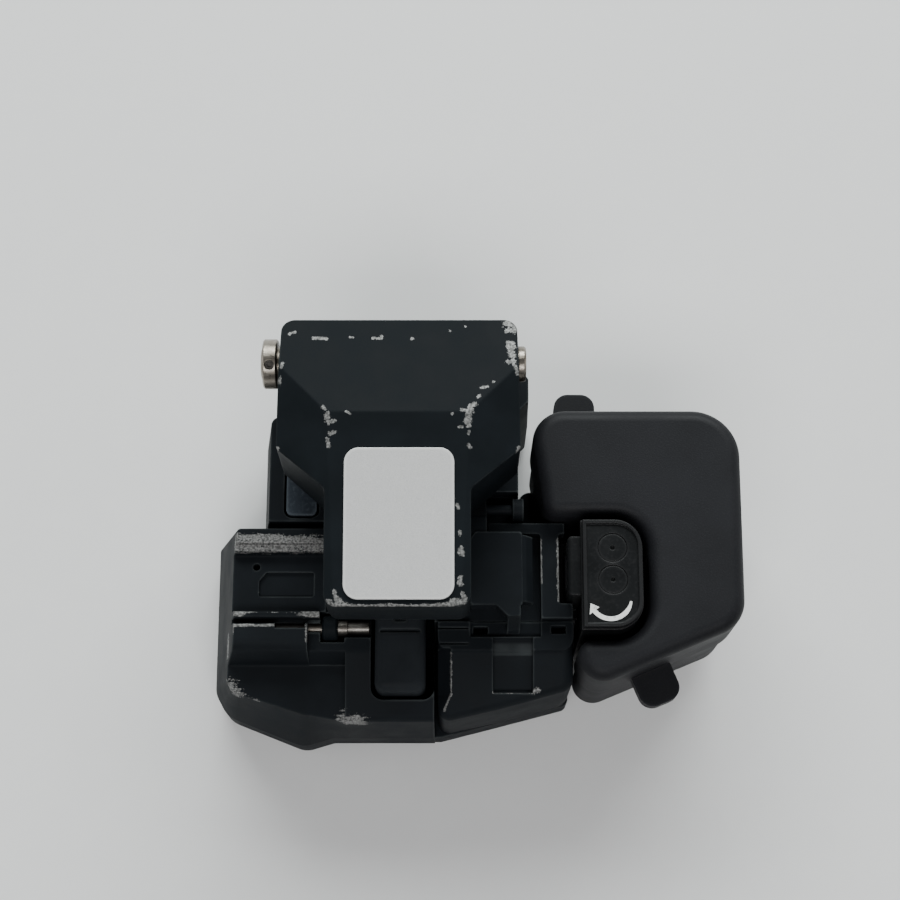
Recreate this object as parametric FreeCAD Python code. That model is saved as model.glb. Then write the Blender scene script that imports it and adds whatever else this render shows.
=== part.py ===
import FreeCAD, Part
import math
import os

# Fibre cleaver, lever closed. Millimetres.
# X runs to the right (towards the scrap collector), Y to the rear (towards the
# lever hinge), Z up. The origin is on the underside of the rubber sole, at the
# middle of the cleaver body.

Vec = FreeCAD.Vector

# ---------------------------------------------------------------- heights
SOLE_T = 1.5                  # rubber sole mat
PLATE_T = 1.6                 # steel plate that closes the underside
SKIRT_Z = 8.0                 # the casting is upright below this, tapered above
DECK_Z = 30.0                 # rear deck of the casting
STAGE_Z = 28.0                # floor of the fibre holder stage
FIBRE_RISE = 3.0              # height of the fibre above the stage floor
RIDGE_H = 2.5                 # height of the two ridges that locate the holder
SEAT_DROP = 1.0               # the clamp seats lie this much under the stage
BAY_FLOOR_Z = 9.0             # floor of the slider bay
FRONT_SHELF_Z = 24.0          # rear edge of the lowered left front block

FIBRE_Z = STAGE_Z + FIBRE_RISE
RIDGE_Z = STAGE_Z + RIDGE_H
SEAT_Z = STAGE_Z - SEAT_DROP

# ---------------------------------------------------------------- plan of the casting
MID_X = 0.7                   # middle plane of lever, slider and blade
FIBRE_Y = -6.2                # line on which the fibre lies, along X
FOOT_LEFT_X = -31.9
FOOT_FRONT_Y = -32.2
FOOT_REAR_Y = 31.5
FOOT_RIGHT_X = 29.4
STAGE_REAR_Y = 1.25
STAGE_RIGHT_X = -11.7
SIDE_TAPER = 5.2              # how far the left flank leans in, up to the ridges
STEP_X = -8.45                # step between the left front block and the middle
REAR_FRONT_Y = 2.6            # front edge of the rear deck
REAR_LEFT_X = -21.4
REAR_RIGHT_X = 20.4
REAR_FOOT_OUT = 2.0           # the rear body spreads this much at its foot
BOSS_FRONT_Y = 21.8           # flat boss on the right flank, under the shaft's end
BOSS_OUT = 1.9
WAIST_Y = 20.5                # the rear body narrows behind this on the left
WAIST_IN = 4.4

RIDGE_W = 4.05                # rear ridge, which has a small step
FRONT_RIDGE_W = 1.2
STAGE_W = 9.7                 # clear width between the ridges, along Y
GROOVE_W = 0.9                # groove between front ridge and front bar
BAR_W = 4.0                   # rounded bar in front of the stage
BAR_RIGHT_X = -14.6
BAR_Z = 30.0
BAR_ROUND = 2.2

# ---------------------------------------------------------------- fits
RUN = 0.05                    # radial clearance of shafts, pins and axles
SLIDE_GAP = 0.05              # clearance of the carriage on its rail
AIR = 0.7                     # gap round the slider in its bay
SEAM = 0.3                    # gap between separate moving bodies

# ---------------------------------------------------------------- blade and slider
BLADE_R = 7.0
BLADE_T = 0.6
BLADE_Y = -9.0                # blade axle with the slider at the front
BLADE_REACH = 0.05            # how far the rim passes above the fibre's underside
AXLE_R = 1.25
HUB_R = 3.0
HUB_W = 1.8
SLIDER_W = 8.4
CARRIAGE_LEN = 26.0
CARRIAGE_FRONT_Y = -24.0
CAP_FRONT_Y = -25.9
CAP_LEN = 22.0
CAP_RISE = 3.9                # thickness of the slider cap above the carriage
CAP_ROUND = 1.6
RAIL_W = 4.0
RAIL_H = 3.4
SLIDER_TRAVEL = 13.0
SPRING_WIRE = 0.4
SPRING_R = 1.1
SPRING_TURNS = 9

BLADE_Z = FIBRE_Z + BLADE_REACH - BLADE_R
CARRIAGE_Z = BLADE_Z + AXLE_R + 0.4
CAP_Z = CARRIAGE_Z + CAP_RISE
CAP_W = SLIDER_W
CARRIAGE_W = SLIDER_W - 0.4
BAY_HALF = SLIDER_W / 2 + AIR
BAY_FRONT_Y = CAP_FRONT_Y - AIR
CARRIAGE_REAR_Y = CARRIAGE_FRONT_Y + CARRIAGE_LEN
BAY_REAR_Y = CARRIAGE_REAR_Y + SLIDER_TRAVEL + 2.5
BLADE_ROOM = 0.5

# ---------------------------------------------------------------- lock bolt
BOLT_R = 1.05
BOLT_Y = -14.9
BOLT_Z = 26.6
BOLT_LEFT_X = -21.0
BOLT_GAP = 0.8                # from the bolt's tip to the slider at rest
BOLT_TRAVEL = 0.7             # until its tip presses on the slider
KNOB_R = 2.1
KNOB_W = 2.6
KNOB_X = -12.3
COLLAR_W = 1.6
COLLAR_R = 1.3

# ---------------------------------------------------------------- clamps
JAW_LEN = 12.0                # along Y
JAW_W = 6.6
JAW_T = 2.0
PAD_W = 3.4
PAD_T = 1.4
PAD_LEN = 9.0
SCREW_R = 1.3
SCREW_T = 0.9
ARM_W = 16.4
ARM_REAR_Y = 10.0
ARM_FRONT_Y = -12.4
ARM_PIVOT_Y = 7.0
ARM_PIVOT_Z = 41.0
ARM_TOP_Z = 44.6
ARM_T = 6.0
PIVOT_R = 1.5
ANVIL_W = 2.4
ANVIL_LEN = 4.0
ANVIL_LIFT = 1.6              # anvil tip above the fibre at rest
ANVIL_STEM_R = 1.5

# ---------------------------------------------------------------- lever
HINGE_Y = 26.2
HINGE_RISE = 12.3             # hinge line above the rear deck
SHAFT_R = 2.7
SHAFT_HEAD_R = 2.95           # head of the shaft outside the lever's right side
LEVER_REAR_Y = 31.9
LEVER_HALF = 19.5             # half width over the wings
SHOULDER_Y = 9.9              # front end of the wings
NECK_Y = 2.7                  # where the wings meet the spine
SPINE_HALF = 11.5
PLATEAU_NOSE_HALF = 9.9       # half width of the plateau at the nose and at the crease
PLATEAU_CREST_HALF = 11.3
NOSE_Y = -15.9
CREST_Y = 14.8                # crease between plateau and rear facet
CREST_RISE = 10.7             # crease above the hinge line
PLATEAU_SLOPE = 0.092
REAR_SLOPE = 0.30
SIDE_SLOPE = 0.44
LEVER_WALL = 1.8
NOSE_BOTTOM_Z = 39.5
WING_BOTTOM_Z = 34.0
CORNER_R = 2.2
LABEL_W = 17.3
LABEL_LEN = 23.8
LABEL_X = 0.95
LABEL_REAR_Y = 8.9
LABEL_T = 0.4
LABEL_R = 2.3
EAR_W = 5.3
EAR_AIR = 1.7                 # gap between a hinge ear and the lever's side wall
EAR_R = 4.4
BUSH_T = 0.6
COLLAR_OUT_R = 4.1
COLLAR_LEN = 2.4
COLLAR_GAP = 0.5              # between collar and lever
SHAFT_STUB = 1.2
COIL_R = 3.3                  # mean radius of the lever spring
COIL_WIRE = 0.7
COIL_TURNS = 7
COIL_STEPS = 12               # straight pieces per turn of a spring

HINGE_Z = DECK_Z + HINGE_RISE
CREST_Z = HINGE_Z + CREST_RISE
EAR_IN = LEVER_HALF - LEVER_WALL - EAR_AIR - EAR_W

# ---------------------------------------------------------------- guide flap
FLAP_LEFT_X = 12.2
FLAP_W = 8.5
FLAP_BEVEL = 1.8
FLAP_REAR_Y = -0.6
FLAP_LEN = 12.2
FLAP_TOP_Z = 36.0
FLAP_T = 3.2
FLAP_PIN_Y = 4.5
FLAP_PIN_Z = 30.0
FLAP_PIN_R = 0.9
FLAP_ARM_W = 2.8
FRAME_DROP = 0.7              # guide frame top under the fibre
FRAME_BAR_Y = 0.4
FRAME_BAR_W = 1.8
FRAME_RIGHT_X = 28.0
POST_X = 24.0
POST_W = 3.0
POST_FOOT_W = 5.2             # the post widens to this in front of the roller unit's inlet
FLAP_LEG_X = 18.3
FLAP_LEG_W = 2.1
FLAP_LEG_Y = -16.2

# ---------------------------------------------------------------- right front grip
GRIP_LEFT_X = 6.9
GRIP_REAR_Y = -14.0
GRIP_STRIP = 4.8              # flat strip behind the ledge line
GRIP_TOP_Z = 28.2
GRIP_WALL = 1.8
GRIP_KINK_X = 17.6            # the front face bends slightly here
GRIP_KINK_Y = -27.9
GRIP_FRONT_Y = -30.5
GRIP_SIDE_Y = -24.8
GRIP_SLOPE = 0.30
GRIP_ROUND = 1.9              # rounding between top and front face
GRIP_FACET_W = 2.2            # bevel along the left edge
GRIP_FACET_DROP = 2.4
GRIP_STEP_X = 12.3            # right of this the strip's rear part is lowered
GRIP_STEP_Y = -16.6
GRIP_STEP_DEPTH = 0.9
THUMB_X = 16.05               # thumb recess
THUMB_W = 6.6
THUMB_REAR_Y = -16.65
THUMB_FRONT_Y = -25.4
THUMB_DEPTH = 1.2

# ---------------------------------------------------------------- rollers and collector
HOUSING_LEFT_X = 27.5
HOUSING_STEP_X = 30.3
HOUSING_RIGHT_X = 40.4
HOUSING_REAR_Y = 1.3
HOUSING_FRONT_Y = -16.9
HOUSING_CORNER = 4.6
HOUSING_BOTTOM_Z = 8.0
WINDOW_Z = 36.0               # top of the housing under its cover plate
COVER_PLATE_T = 1.2
RIM_H = 0.4
ROLLER_X = 35.4
ROLLER_R = 2.6
NIP_GAP = 0.1
ROLLER_SHAFT_R = 1.0
DISC_R = 2.35
ROLLER_LEN = 9.0
INLET_HALF = 4.9
INLET_TOP_Z = 35.6
INLET_BOTTOM_Z = 24.0

TRAY_Z = 6.0
SPLIT_Z = 21.5                # joint between collector tray and cover
COVER_TOP_Z = 35.0
COLLECTOR_WALL = 1.5
COLLECTOR_REAR_Y = 20.9
COLLECTOR_LEFT_X = 21.9
COLLECTOR_CHEEK_X = 24.6
COLLECTOR_RIGHT_X = 57.2
COLLECTOR_RIGHT_Y = -15.4
COLLECTOR_FRONT_X = 29.8
COLLECTOR_FRONT_Y = -26.8
COLLECTOR_GAP = 1.2           # air between collector and roller housing
CHEEK_R = 2.7
COVER_EDGE_R = 2.2
TAB_W = 7.0
TAB_OUT = 5.8
TAB_T = 2.6
TAB_REAR_X = 30.4             # middle of the rear finger tab
TAB_FRONT_SHARE = 0.46        # place of the front tab along the slanting front wall
BRACKET_T = 2.4
BRACKET_REAR_Y = 14.0

# ---------------------------------------------------------------- helpers


def xy(z):
    """Place an outline on a level plane."""
    return lambda u, v: Vec(u, v, z)


def yz(x):
    """Place an outline on a plane across the width; u is Y and v is Z."""
    return lambda u, v: Vec(x, u, v)


def xz(y):
    """Place an outline on a plane across the depth; u is X and v is Z."""
    return lambda u, v: Vec(u, y, v)


def outline(corners, place):
    """Closed wire through corners (u, v) or (u, v, radius); a radius is limited by its two sides."""
    points = [Vec(c[0], c[1], 0) for c in corners]
    radii = [c[2] if len(c) > 2 else 0 for c in corners]
    count = len(points)
    halves = []
    for i in range(count):
        back = points[i - 1] - points[i]
        ahead = points[(i + 1) % count] - points[i]
        halves.append(back.getAngle(ahead) / 2)
    cuts = [radii[i] / math.tan(halves[i]) for i in range(count)]
    shares = [1.0] * count
    for i in range(count):
        j = (i + 1) % count
        room = 0.98 * points[i].distanceToPoint(points[j])
        if cuts[i] + cuts[j] > room:
            share = room / (cuts[i] + cuts[j])
            shares[i] = min(shares[i], share)
            shares[j] = min(shares[j], share)
    edges = []
    ends = []
    for i in range(count):
        back = (points[i - 1] - points[i]).normalize()
        ahead = (points[(i + 1) % count] - points[i]).normalize()
        cut = cuts[i] * shares[i]
        ends.append((points[i] + back * cut, points[i] + ahead * cut))
    for i in range(count):
        start, end = (place(p.x, p.y) for p in ends[i])
        if radii[i]:
            radius = radii[i] * shares[i]
            inward = ends[i][0] + ends[i][1] - points[i] * 2
            middle = points[i] + inward.normalize() * (radius / math.sin(halves[i]) - radius)
            edges.append(Part.Arc(start, place(middle.x, middle.y), end).toShape())
        following = ends[(i + 1) % count][0]
        following = place(following.x, following.y)
        if end.distanceToPoint(following) > 1e-6:
            edges.append(Part.LineSegment(end, following).toShape())
    return Part.Wire(edges)


def inset(corners, distance):
    """Move every side of an anticlockwise outline inwards."""
    moved = []
    count = len(corners)
    for i in range(count):
        here = Vec(corners[i][0], corners[i][1], 0)
        before = Vec(corners[i - 1][0], corners[i - 1][1], 0)
        after = Vec(corners[(i + 1) % count][0], corners[(i + 1) % count][1], 0)
        into = (here - before).normalize()
        out = (after - here).normalize()
        normal_in = Vec(-into.y, into.x, 0)
        normal_out = Vec(-out.y, out.x, 0)
        shift = (normal_in + normal_out) * (distance / (1 + normal_in.dot(normal_out)))
        radius = corners[i][2] if len(corners[i]) > 2 else 0
        turn_left = into.x * out.y - into.y * out.x > 0
        radius = max(radius - distance, 0) if turn_left else (radius + distance if radius else 0)
        moved.append((here.x + shift.x, here.y + shift.y, radius))
    return moved


def plate(corners, z0, z1):
    """Upright solid over a plan outline."""
    return Part.Face(outline(corners, xy(z0))).extrude(Vec(0, 0, z1 - z0))


def side_solid(corners, x0, x1):
    """Solid with a constant section seen from the side."""
    return Part.Face(outline(corners, yz(x0))).extrude(Vec(x1 - x0, 0, 0))


def front_solid(corners, y0, y1):
    """Solid with a constant section seen from the front."""
    return Part.Face(outline(corners, xz(y0))).extrude(Vec(0, y1 - y0, 0))


def block(x0, x1, y0, y1, z0, z1):
    return Part.makeBox(x1 - x0, y1 - y0, z1 - z0, Vec(x0, y0, z0))


def rod_x(x0, x1, y, z, radius):
    return Part.makeCylinder(radius, x1 - x0, Vec(x0, y, z), Vec(1, 0, 0))


def rod_y(y0, y1, x, z, radius):
    return Part.makeCylinder(radius, y1 - y0, Vec(x, y0, z), Vec(0, 1, 0))


def rod_z(z0, z1, x, y, radius):
    return Part.makeCylinder(radius, z1 - z0, Vec(x, y, z0), Vec(0, 0, 1))


def soften(shape, radius, chosen):
    """Fillet the edges that the test picks out."""
    return shape.makeFillet(radius, [e for e in shape.Edges if chosen(e)])


def coil(radius, wire, turns, length, start, axis):
    """Spring of square wire along an axis, bent in short straight pieces."""
    steps = COIL_STEPS * turns
    sections = []
    for i in range(steps + 1):
        angle = 2 * math.pi * i / COIL_STEPS
        rise = length * i / steps
        corners = []
        for r, z in ((-1, -1), (1, -1), (1, 1), (-1, 1)):
            reach = radius + r * wire / 2
            corners.append(Vec(reach * math.cos(angle), reach * math.sin(angle), rise + z * wire / 2))
        sections.append(Part.makePolygon(corners + [corners[0]]))
    spring = Part.makeLoft(sections, True, True)
    spring.Placement = FreeCAD.Placement(start, FreeCAD.Rotation(Vec(0, 0, 1), axis))
    return spring


def together(*shapes):
    """Fuse touching solids into one."""
    result = shapes[0].fuse(list(shapes[1:]))
    return result.removeSplitter()


# ---------------------------------------------------------------- the casting

FRONT_OF_STAGE_Y = STAGE_REAR_Y - RIDGE_W - STAGE_W
BAR_REAR_Y = FRONT_OF_STAGE_Y - FRONT_RIDGE_W - GROOVE_W
BAR_FRONT_Y = BAR_REAR_Y - BAR_W
SHELF_FRONT_Z = FRONT_SHELF_Z - 1.5
SHELF_REAR_Y = BAR_FRONT_Y - 2.0
CENTRE_RIGHT_X = 6.3
RAMP_Y = -18.9
BODY_Z = SOLE_T


def left_plan(lean):
    """Plan of the left half; lean 0 at the foot, 1 at the ridges."""
    left = FOOT_LEFT_X + SIDE_TAPER * lean
    return [
        (left, STAGE_REAR_Y + 1.9 * (1 - lean), 0.8),
        (left, FOOT_FRONT_Y + 9.2 - 0.6 * lean, 4.0),
        (left + 2.1 - 1.3 * lean, FOOT_FRONT_Y + 5.3 + 2.5 * lean, 4.5),
        (-16.4 + 1.8 * lean, FOOT_FRONT_Y + 5.0 * lean, 4.0),
        (-11.4, FOOT_FRONT_Y + 1.5 + 1.9 * lean, 2.5),
        (STEP_X, FOOT_FRONT_Y + 1.5 + 1.0 * lean),
        (STEP_X, STAGE_REAR_Y + 1.9 * (1 - lean)),
    ]


def left_half():
    foot = plate(left_plan(0), BODY_Z, SKIRT_Z)
    flank = Part.makeLoft([outline(left_plan(0), xy(SKIRT_Z)), outline(left_plan(1), xy(RIDGE_Z))], True, True)
    ridge_front = STAGE_REAR_Y - RIDGE_W
    section = side_solid([
        (STAGE_REAR_Y + 4, 0),
        (STAGE_REAR_Y + 4, RIDGE_Z + 1),
        (STAGE_REAR_Y, RIDGE_Z + 1),
        (STAGE_REAR_Y - 0.01, RIDGE_Z),
        (STAGE_REAR_Y - RIDGE_W * 0.6, RIDGE_Z, 0.2),
        (STAGE_REAR_Y - RIDGE_W * 0.6 - 0.3, RIDGE_Z - 0.6, 0.2),
        (ridge_front + 0.3, RIDGE_Z - 0.7, 0.3),
        (ridge_front, STAGE_Z, 0.3),
        (FRONT_OF_STAGE_Y, STAGE_Z, 0.3),
        (FRONT_OF_STAGE_Y - 0.2, RIDGE_Z - 0.3, 0.3),
        (BAR_REAR_Y + GROOVE_W, RIDGE_Z - 0.3, 0.2),
        (BAR_REAR_Y + GROOVE_W, SEAT_Z + 0.8),
        (BAR_REAR_Y, SEAT_Z + 0.8),
        (BAR_REAR_Y, BAR_Z, 0.4),
        (BAR_FRONT_Y, BAR_Z, BAR_ROUND),
        (SHELF_REAR_Y, FRONT_SHELF_Z, 0.5),
        (FOOT_FRONT_Y - 2, SHELF_FRONT_Z),
        (FOOT_FRONT_Y - 2, 0),
    ], FOOT_LEFT_X - 1, STEP_X)
    body = together(foot, flank).common(section)
    beside_bar = side_solid([
        (FRONT_OF_STAGE_Y - FRONT_RIDGE_W - 0.2, SEAT_Z + 0.5),
        (FRONT_OF_STAGE_Y - FRONT_RIDGE_W - 0.2, RIDGE_Z + 2),
        (SHELF_REAR_Y, RIDGE_Z + 2),
        (SHELF_REAR_Y, FRONT_SHELF_Z),
        (RAMP_Y, SEAT_Z + 0.5, 0.5),
    ], BAR_RIGHT_X, STEP_X + 1)
    seat = block(STAGE_RIGHT_X, STEP_X + 1, FRONT_OF_STAGE_Y - FRONT_RIDGE_W - 0.3, STAGE_REAR_Y + 4,
                 SEAT_Z, RIDGE_Z + 2)
    return body.cut([beside_bar, seat])


def middle():
    return side_solid([
        (REAR_FRONT_Y + 0.5, BODY_Z),
        (REAR_FRONT_Y + 0.5, SEAT_Z),
        (FRONT_OF_STAGE_Y - FRONT_RIDGE_W - 0.2, SEAT_Z),
        (FRONT_OF_STAGE_Y - FRONT_RIDGE_W - 0.3, SEAT_Z + 0.5),
        (RAMP_Y, SEAT_Z + 0.5, 3.0),
        (FOOT_FRONT_Y + 2.2, SEAT_Z - 2.6, 1.5),
        (FOOT_FRONT_Y + 1.5, SKIRT_Z),
        (FOOT_FRONT_Y + 1.5, BODY_Z),
    ], STEP_X, CENTRE_RIGHT_X)


def right_plan(grow):
    return inset([
        (CENTRE_RIGHT_X - 1, GRIP_REAR_Y - 0.2),
        (CENTRE_RIGHT_X - 1, GRIP_FRONT_Y),
        (GRIP_LEFT_X + 0.5, GRIP_FRONT_Y, 0.5),
        (GRIP_KINK_X, GRIP_KINK_Y, 1.5),
        (FOOT_RIGHT_X, GRIP_SIDE_Y, 1.2),
        (FOOT_RIGHT_X, GRIP_REAR_Y - 0.2),
    ], -grow)


def rear_plan(spread):
    left = REAR_LEFT_X - spread
    right = REAR_RIGHT_X + spread * 0.2
    return [
        (right, REAR_FRONT_Y),
        (right, BOSS_FRONT_Y, 0.8),
        (right + BOSS_OUT, BOSS_FRONT_Y + BOSS_OUT, 0.8),
        (right + BOSS_OUT, FOOT_REAR_Y - 3.5, 0.8),
        (right, FOOT_REAR_Y - 3.0, 0.8),
        (right, FOOT_REAR_Y, 2.0),
        (left + WAIST_IN, FOOT_REAR_Y, 3.0),
        (left + WAIST_IN, WAIST_Y + 1.2, 1.0),
        (left, WAIST_Y, 1.5),
        (left, REAR_FRONT_Y),
    ]


def ear(x0):
    """Upright that carries the hinge shaft."""
    web = side_solid([
        (HINGE_Y - EAR_R - 2.6, DECK_Z - 0.5),
        (FOOT_REAR_Y - 0.5, DECK_Z - 0.5),
        (HINGE_Y + EAR_R, HINGE_Z),
        (HINGE_Y - EAR_R, HINGE_Z),
    ], x0, x0 + EAR_W)
    eye = rod_x(x0, x0 + EAR_W, HINGE_Y, HINGE_Z, EAR_R)
    return web.fuse(eye)


STAGE_HOLE_X = -23.4          # small hole in the stage floor
STAGE_HOLE_IN = 2.0           # in front of the rear ridge
STAGE_HOLE_R = 0.6
STAGE_HOLE_DEPTH = 4.0
RECESS_LEFT_X = -22.9         # shallow recess in the stage floor
RECESS_IN = 2.9               # in front of the rear ridge
RECESS_W = 9.1
RECESS_LEN = 4.1
RECESS_BEVEL = 1.2
RECESS_DEPTH = 0.5
REST_X = -18.5                # left side of the grey rest pad
REST_W = 5.1
REST_FRONT_Y = 3.6
REST_LEN = 9.0
REST_GAP = 0.4
REST_DEPTH = 3.0

UNDERSIDE = [
    (FOOT_LEFT_X + 7.0, -24.0, 3.0),
    (FOOT_RIGHT_X - 8.0, -21.0, 3.0),
    (FOOT_RIGHT_X - 8.0, 0, 3.0),
    (REAR_RIGHT_X - 2, FOOT_REAR_Y - 4, 3.0),
    (REAR_LEFT_X + WAIST_IN, FOOT_REAR_Y - 4, 3.0),
    (FOOT_LEFT_X + 7.0, -4.0, 3.0),
]


def rest_shape(gap, z0, z1):
    left = REST_X - gap
    right = REST_X + REST_W + gap
    front = REST_FRONT_Y - gap
    rear = REST_FRONT_Y + REST_LEN + gap
    radius = 1.0 + gap
    return plate([(left, front, radius), (right, front, radius), (right, rear, radius), (left, rear, radius)],
                 z0, z1)


LUG_W = 1.8
LUG_LEFT_X = FLAP_LEFT_X - SEAM - LUG_W
LUG_RIGHT_X = COLLECTOR_LEFT_X - 0.7 - LUG_W


def flap_lug(x0):
    """Lug on the rear deck that carries one end of the flap pin."""
    web = side_solid([
        (FLAP_PIN_Y - 1.9, SEAT_Z - 1),
        (FLAP_PIN_Y + 1.9, SEAT_Z - 1),
        (FLAP_PIN_Y + 1.9, FLAP_PIN_Z),
        (FLAP_PIN_Y - 1.9, FLAP_PIN_Z),
    ], x0, x0 + LUG_W)
    return web.fuse(rod_x(x0, x0 + LUG_W, FLAP_PIN_Y, FLAP_PIN_Z, 1.9))


def grip_plan(wall):
    return inset([
        (GRIP_LEFT_X, GRIP_REAR_Y),
        (GRIP_LEFT_X, GRIP_FRONT_Y + 0.2, 2.0),
        (GRIP_KINK_X, GRIP_KINK_Y, 9.0),
        (FOOT_RIGHT_X, GRIP_SIDE_Y, 2.4),
        (FOOT_RIGHT_X, GRIP_REAR_Y),
    ], wall)


def base_body():
    rear_foot = outline(rear_plan(REAR_FOOT_OUT), xy(SKIRT_Z + 6))
    rear_top = outline(rear_plan(0), xy(DECK_Z))
    rear = Part.makeLoft([rear_foot, rear_top], True, True)
    rear_low = plate(rear_plan(REAR_FOOT_OUT), BODY_Z, SKIRT_Z + 6)
    bridge = block(REAR_LEFT_X + 1, CENTRE_RIGHT_X, STAGE_REAR_Y - 3, REAR_FRONT_Y + 1, BODY_Z, SEAT_Z)
    right_deck = block(CENTRE_RIGHT_X - 1, REAR_RIGHT_X, GRIP_REAR_Y + 0.1, REAR_FRONT_Y + 0.5, BODY_Z, SEAT_Z)
    wide_deck = block(REAR_RIGHT_X - 1, HOUSING_LEFT_X - 0.4, GRIP_REAR_Y + 0.1, HOUSING_REAR_Y + 0.4,
                      BODY_Z, SEAT_Z)
    right_foot = plate(right_plan(0), BODY_Z, SKIRT_Z - 0.3)
    core = plate(grip_plan(GRIP_WALL + 0.3), BODY_Z, GRIP_TOP_Z - 8)
    ears = [ear(MID_X - EAR_IN - EAR_W), ear(MID_X + EAR_IN)]
    body = together(left_half(), middle(), rear, rear_low, bridge, right_deck, wide_deck, right_foot, core, *ears)

    flap_well = block(LUG_LEFT_X, COLLECTOR_LEFT_X + 3, REAR_FRONT_Y - 1, FLAP_PIN_Y + 3.2, SEAT_Z, DECK_Z + 1)
    bay = plate([
        (MID_X - BAY_HALF, BAY_FRONT_Y, 2.0),
        (CENTRE_RIGHT_X + 0.05, BAY_FRONT_Y, 2.0),
        (CENTRE_RIGHT_X + 0.05, BAY_REAR_Y, 1.0),
        (MID_X - BAY_HALF, BAY_REAR_Y, 1.0),
    ], BAY_FLOOR_Z, RIDGE_Z + 5)
    bolt_bore = rod_x(BOLT_LEFT_X - 1.5, KNOB_X, BOLT_Y, BOLT_Z, BOLT_R + RUN)
    trough = COLLAR_R + 0.4
    bolt_trough = block(KNOB_X - 0.3, MID_X, BOLT_Y - trough, BOLT_Y + trough, BOLT_Z - trough, RIDGE_Z + 2)
    pocket = KNOB_R + 0.4
    knob_pocket = block(KNOB_X - 0.3, KNOB_X + KNOB_W + BOLT_TRAVEL + 0.4, BOLT_Y - pocket, BOLT_Y + pocket,
                        BOLT_Z - pocket, RIDGE_Z + 2)
    bolt_slot = block(BOLT_LEFT_X + 1, BOLT_LEFT_X + 6, BOLT_Y - 0.55, BOLT_Y + 0.55, BOLT_Z, RIDGE_Z + 2)
    hinge_bore = rod_x(MID_X - LEVER_HALF, MID_X + LEVER_HALF, HINGE_Y, HINGE_Z, SHAFT_R + RUN + BUSH_T)
    ridge_front = STAGE_REAR_Y - RIDGE_W
    stage_hole = rod_z(STAGE_Z - STAGE_HOLE_DEPTH, STAGE_Z + 1, STAGE_HOLE_X, ridge_front - STAGE_HOLE_IN,
                       STAGE_HOLE_R)
    recess_rear = ridge_front - RECESS_IN
    recess_front = recess_rear - RECESS_LEN
    stage_recess = plate([
        (RECESS_LEFT_X + RECESS_BEVEL, recess_rear),
        (RECESS_LEFT_X, recess_rear - RECESS_BEVEL - 0.2),
        (RECESS_LEFT_X, recess_front, 0.3),
        (RECESS_LEFT_X + RECESS_W, recess_front, 0.3),
        (RECESS_LEFT_X + RECESS_W, recess_rear, 0.3),
    ], STAGE_Z - RECESS_DEPTH, STAGE_Z + 1)
    underside = plate(UNDERSIDE, BODY_Z - 1, BODY_Z + PLATE_T)
    rest_pocket = rest_shape(REST_GAP, DECK_Z - REST_DEPTH, DECK_Z + 1)
    body = body.cut([bay, bolt_bore, bolt_trough, knob_pocket, bolt_slot, hinge_bore, stage_hole, stage_recess,
                     underside, rest_pocket, flap_well])
    body = together(body, flap_lug(LUG_LEFT_X), flap_lug(LUG_RIGHT_X))
    pin_bore = rod_x(LUG_LEFT_X - 1, COLLECTOR_LEFT_X, FLAP_PIN_Y, FLAP_PIN_Z, FLAP_PIN_R + RUN)
    return body.cut(pin_bore)


# ---------------------------------------------------------------- underside


def bottom_plate():
    return plate(inset(UNDERSIDE, 0.15), BODY_Z, BODY_Z + PLATE_T).cut(screw_holes())


PLATE_SCREWS = [(-20.0, -20.0), (17.0, -18.0), (14.0, 24.0), (-13.0, 24.0)]
PLATE_SCREW_R = 1.5


def screw_holes():
    holes = [rod_z(BODY_Z - 1, BODY_Z + PLATE_T + 1, x, y, PLATE_SCREW_R + RUN) for x, y in PLATE_SCREWS]
    return Part.makeCompound(holes)


def plate_screws():
    return Part.makeCompound([rod_z(BODY_Z, BODY_Z + PLATE_T, x, y, PLATE_SCREW_R) for x, y in PLATE_SCREWS])


def sole_mat():
    left = FOOT_LEFT_X + 2.0
    right = FOOT_RIGHT_X - 2.0
    return plate([
        (left, FOOT_FRONT_Y + 9.0, 3.0),
        (-15.0, FOOT_FRONT_Y + 3.5, 3.0),
        (GRIP_LEFT_X, FOOT_FRONT_Y + 3.5, 3.0),
        (right, GRIP_SIDE_Y + 1.0, 3.0),
        (right, GRIP_REAR_Y + 2.0, 3.0),
        (REAR_RIGHT_X, REAR_FRONT_Y, 3.0),
        (REAR_RIGHT_X, FOOT_REAR_Y - 2.0, 3.0),
        (REAR_LEFT_X + WAIST_IN, FOOT_REAR_Y - 2.0, 3.0),
        (REAR_LEFT_X, WAIST_Y - 2.0, 3.0),
        (REAR_LEFT_X, REAR_FRONT_Y - 2.0, 1.0),
        (left, REAR_FRONT_Y - 2.0, 3.0),
    ], 0, SOLE_T)


# ---------------------------------------------------------------- slider and blade

CHANNEL = RAIL_W / 2 + SLIDE_GAP
RAIL_Z = BAY_FLOOR_Z + RAIL_H
CARRIAGE_BOTTOM_Z = BAY_FLOOR_Z + 1.2
SPRING_Z = (RAIL_Z + BLADE_Z - BLADE_R - BLADE_ROOM) / 2
SPRING_DEPTH = 8.0
RAIL_FRONT_Y = BAY_FRONT_Y + 0.5
RAIL_REAR_Y = BAY_REAR_Y - 0.3
RAIL_SCREW_FRONT = 4.1        # from the rail's front end to its first screw
RAIL_SCREW_MID = 5.0          # from the carriage's rear end to the middle screw
RAIL_SCREW_REAR = 3.2
RAIL_SCREW_R = 1.2
RAIL_SCREW_DEPTH = 1.0        # depth of the countersink
RAIL_SCREW_LOW = 0.1          # the head lies this much under the rail's top
RAIL_SCREW_YS = (RAIL_FRONT_Y + RAIL_SCREW_FRONT, CARRIAGE_REAR_Y - RAIL_SCREW_MID, RAIL_REAR_Y - RAIL_SCREW_REAR)


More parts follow.
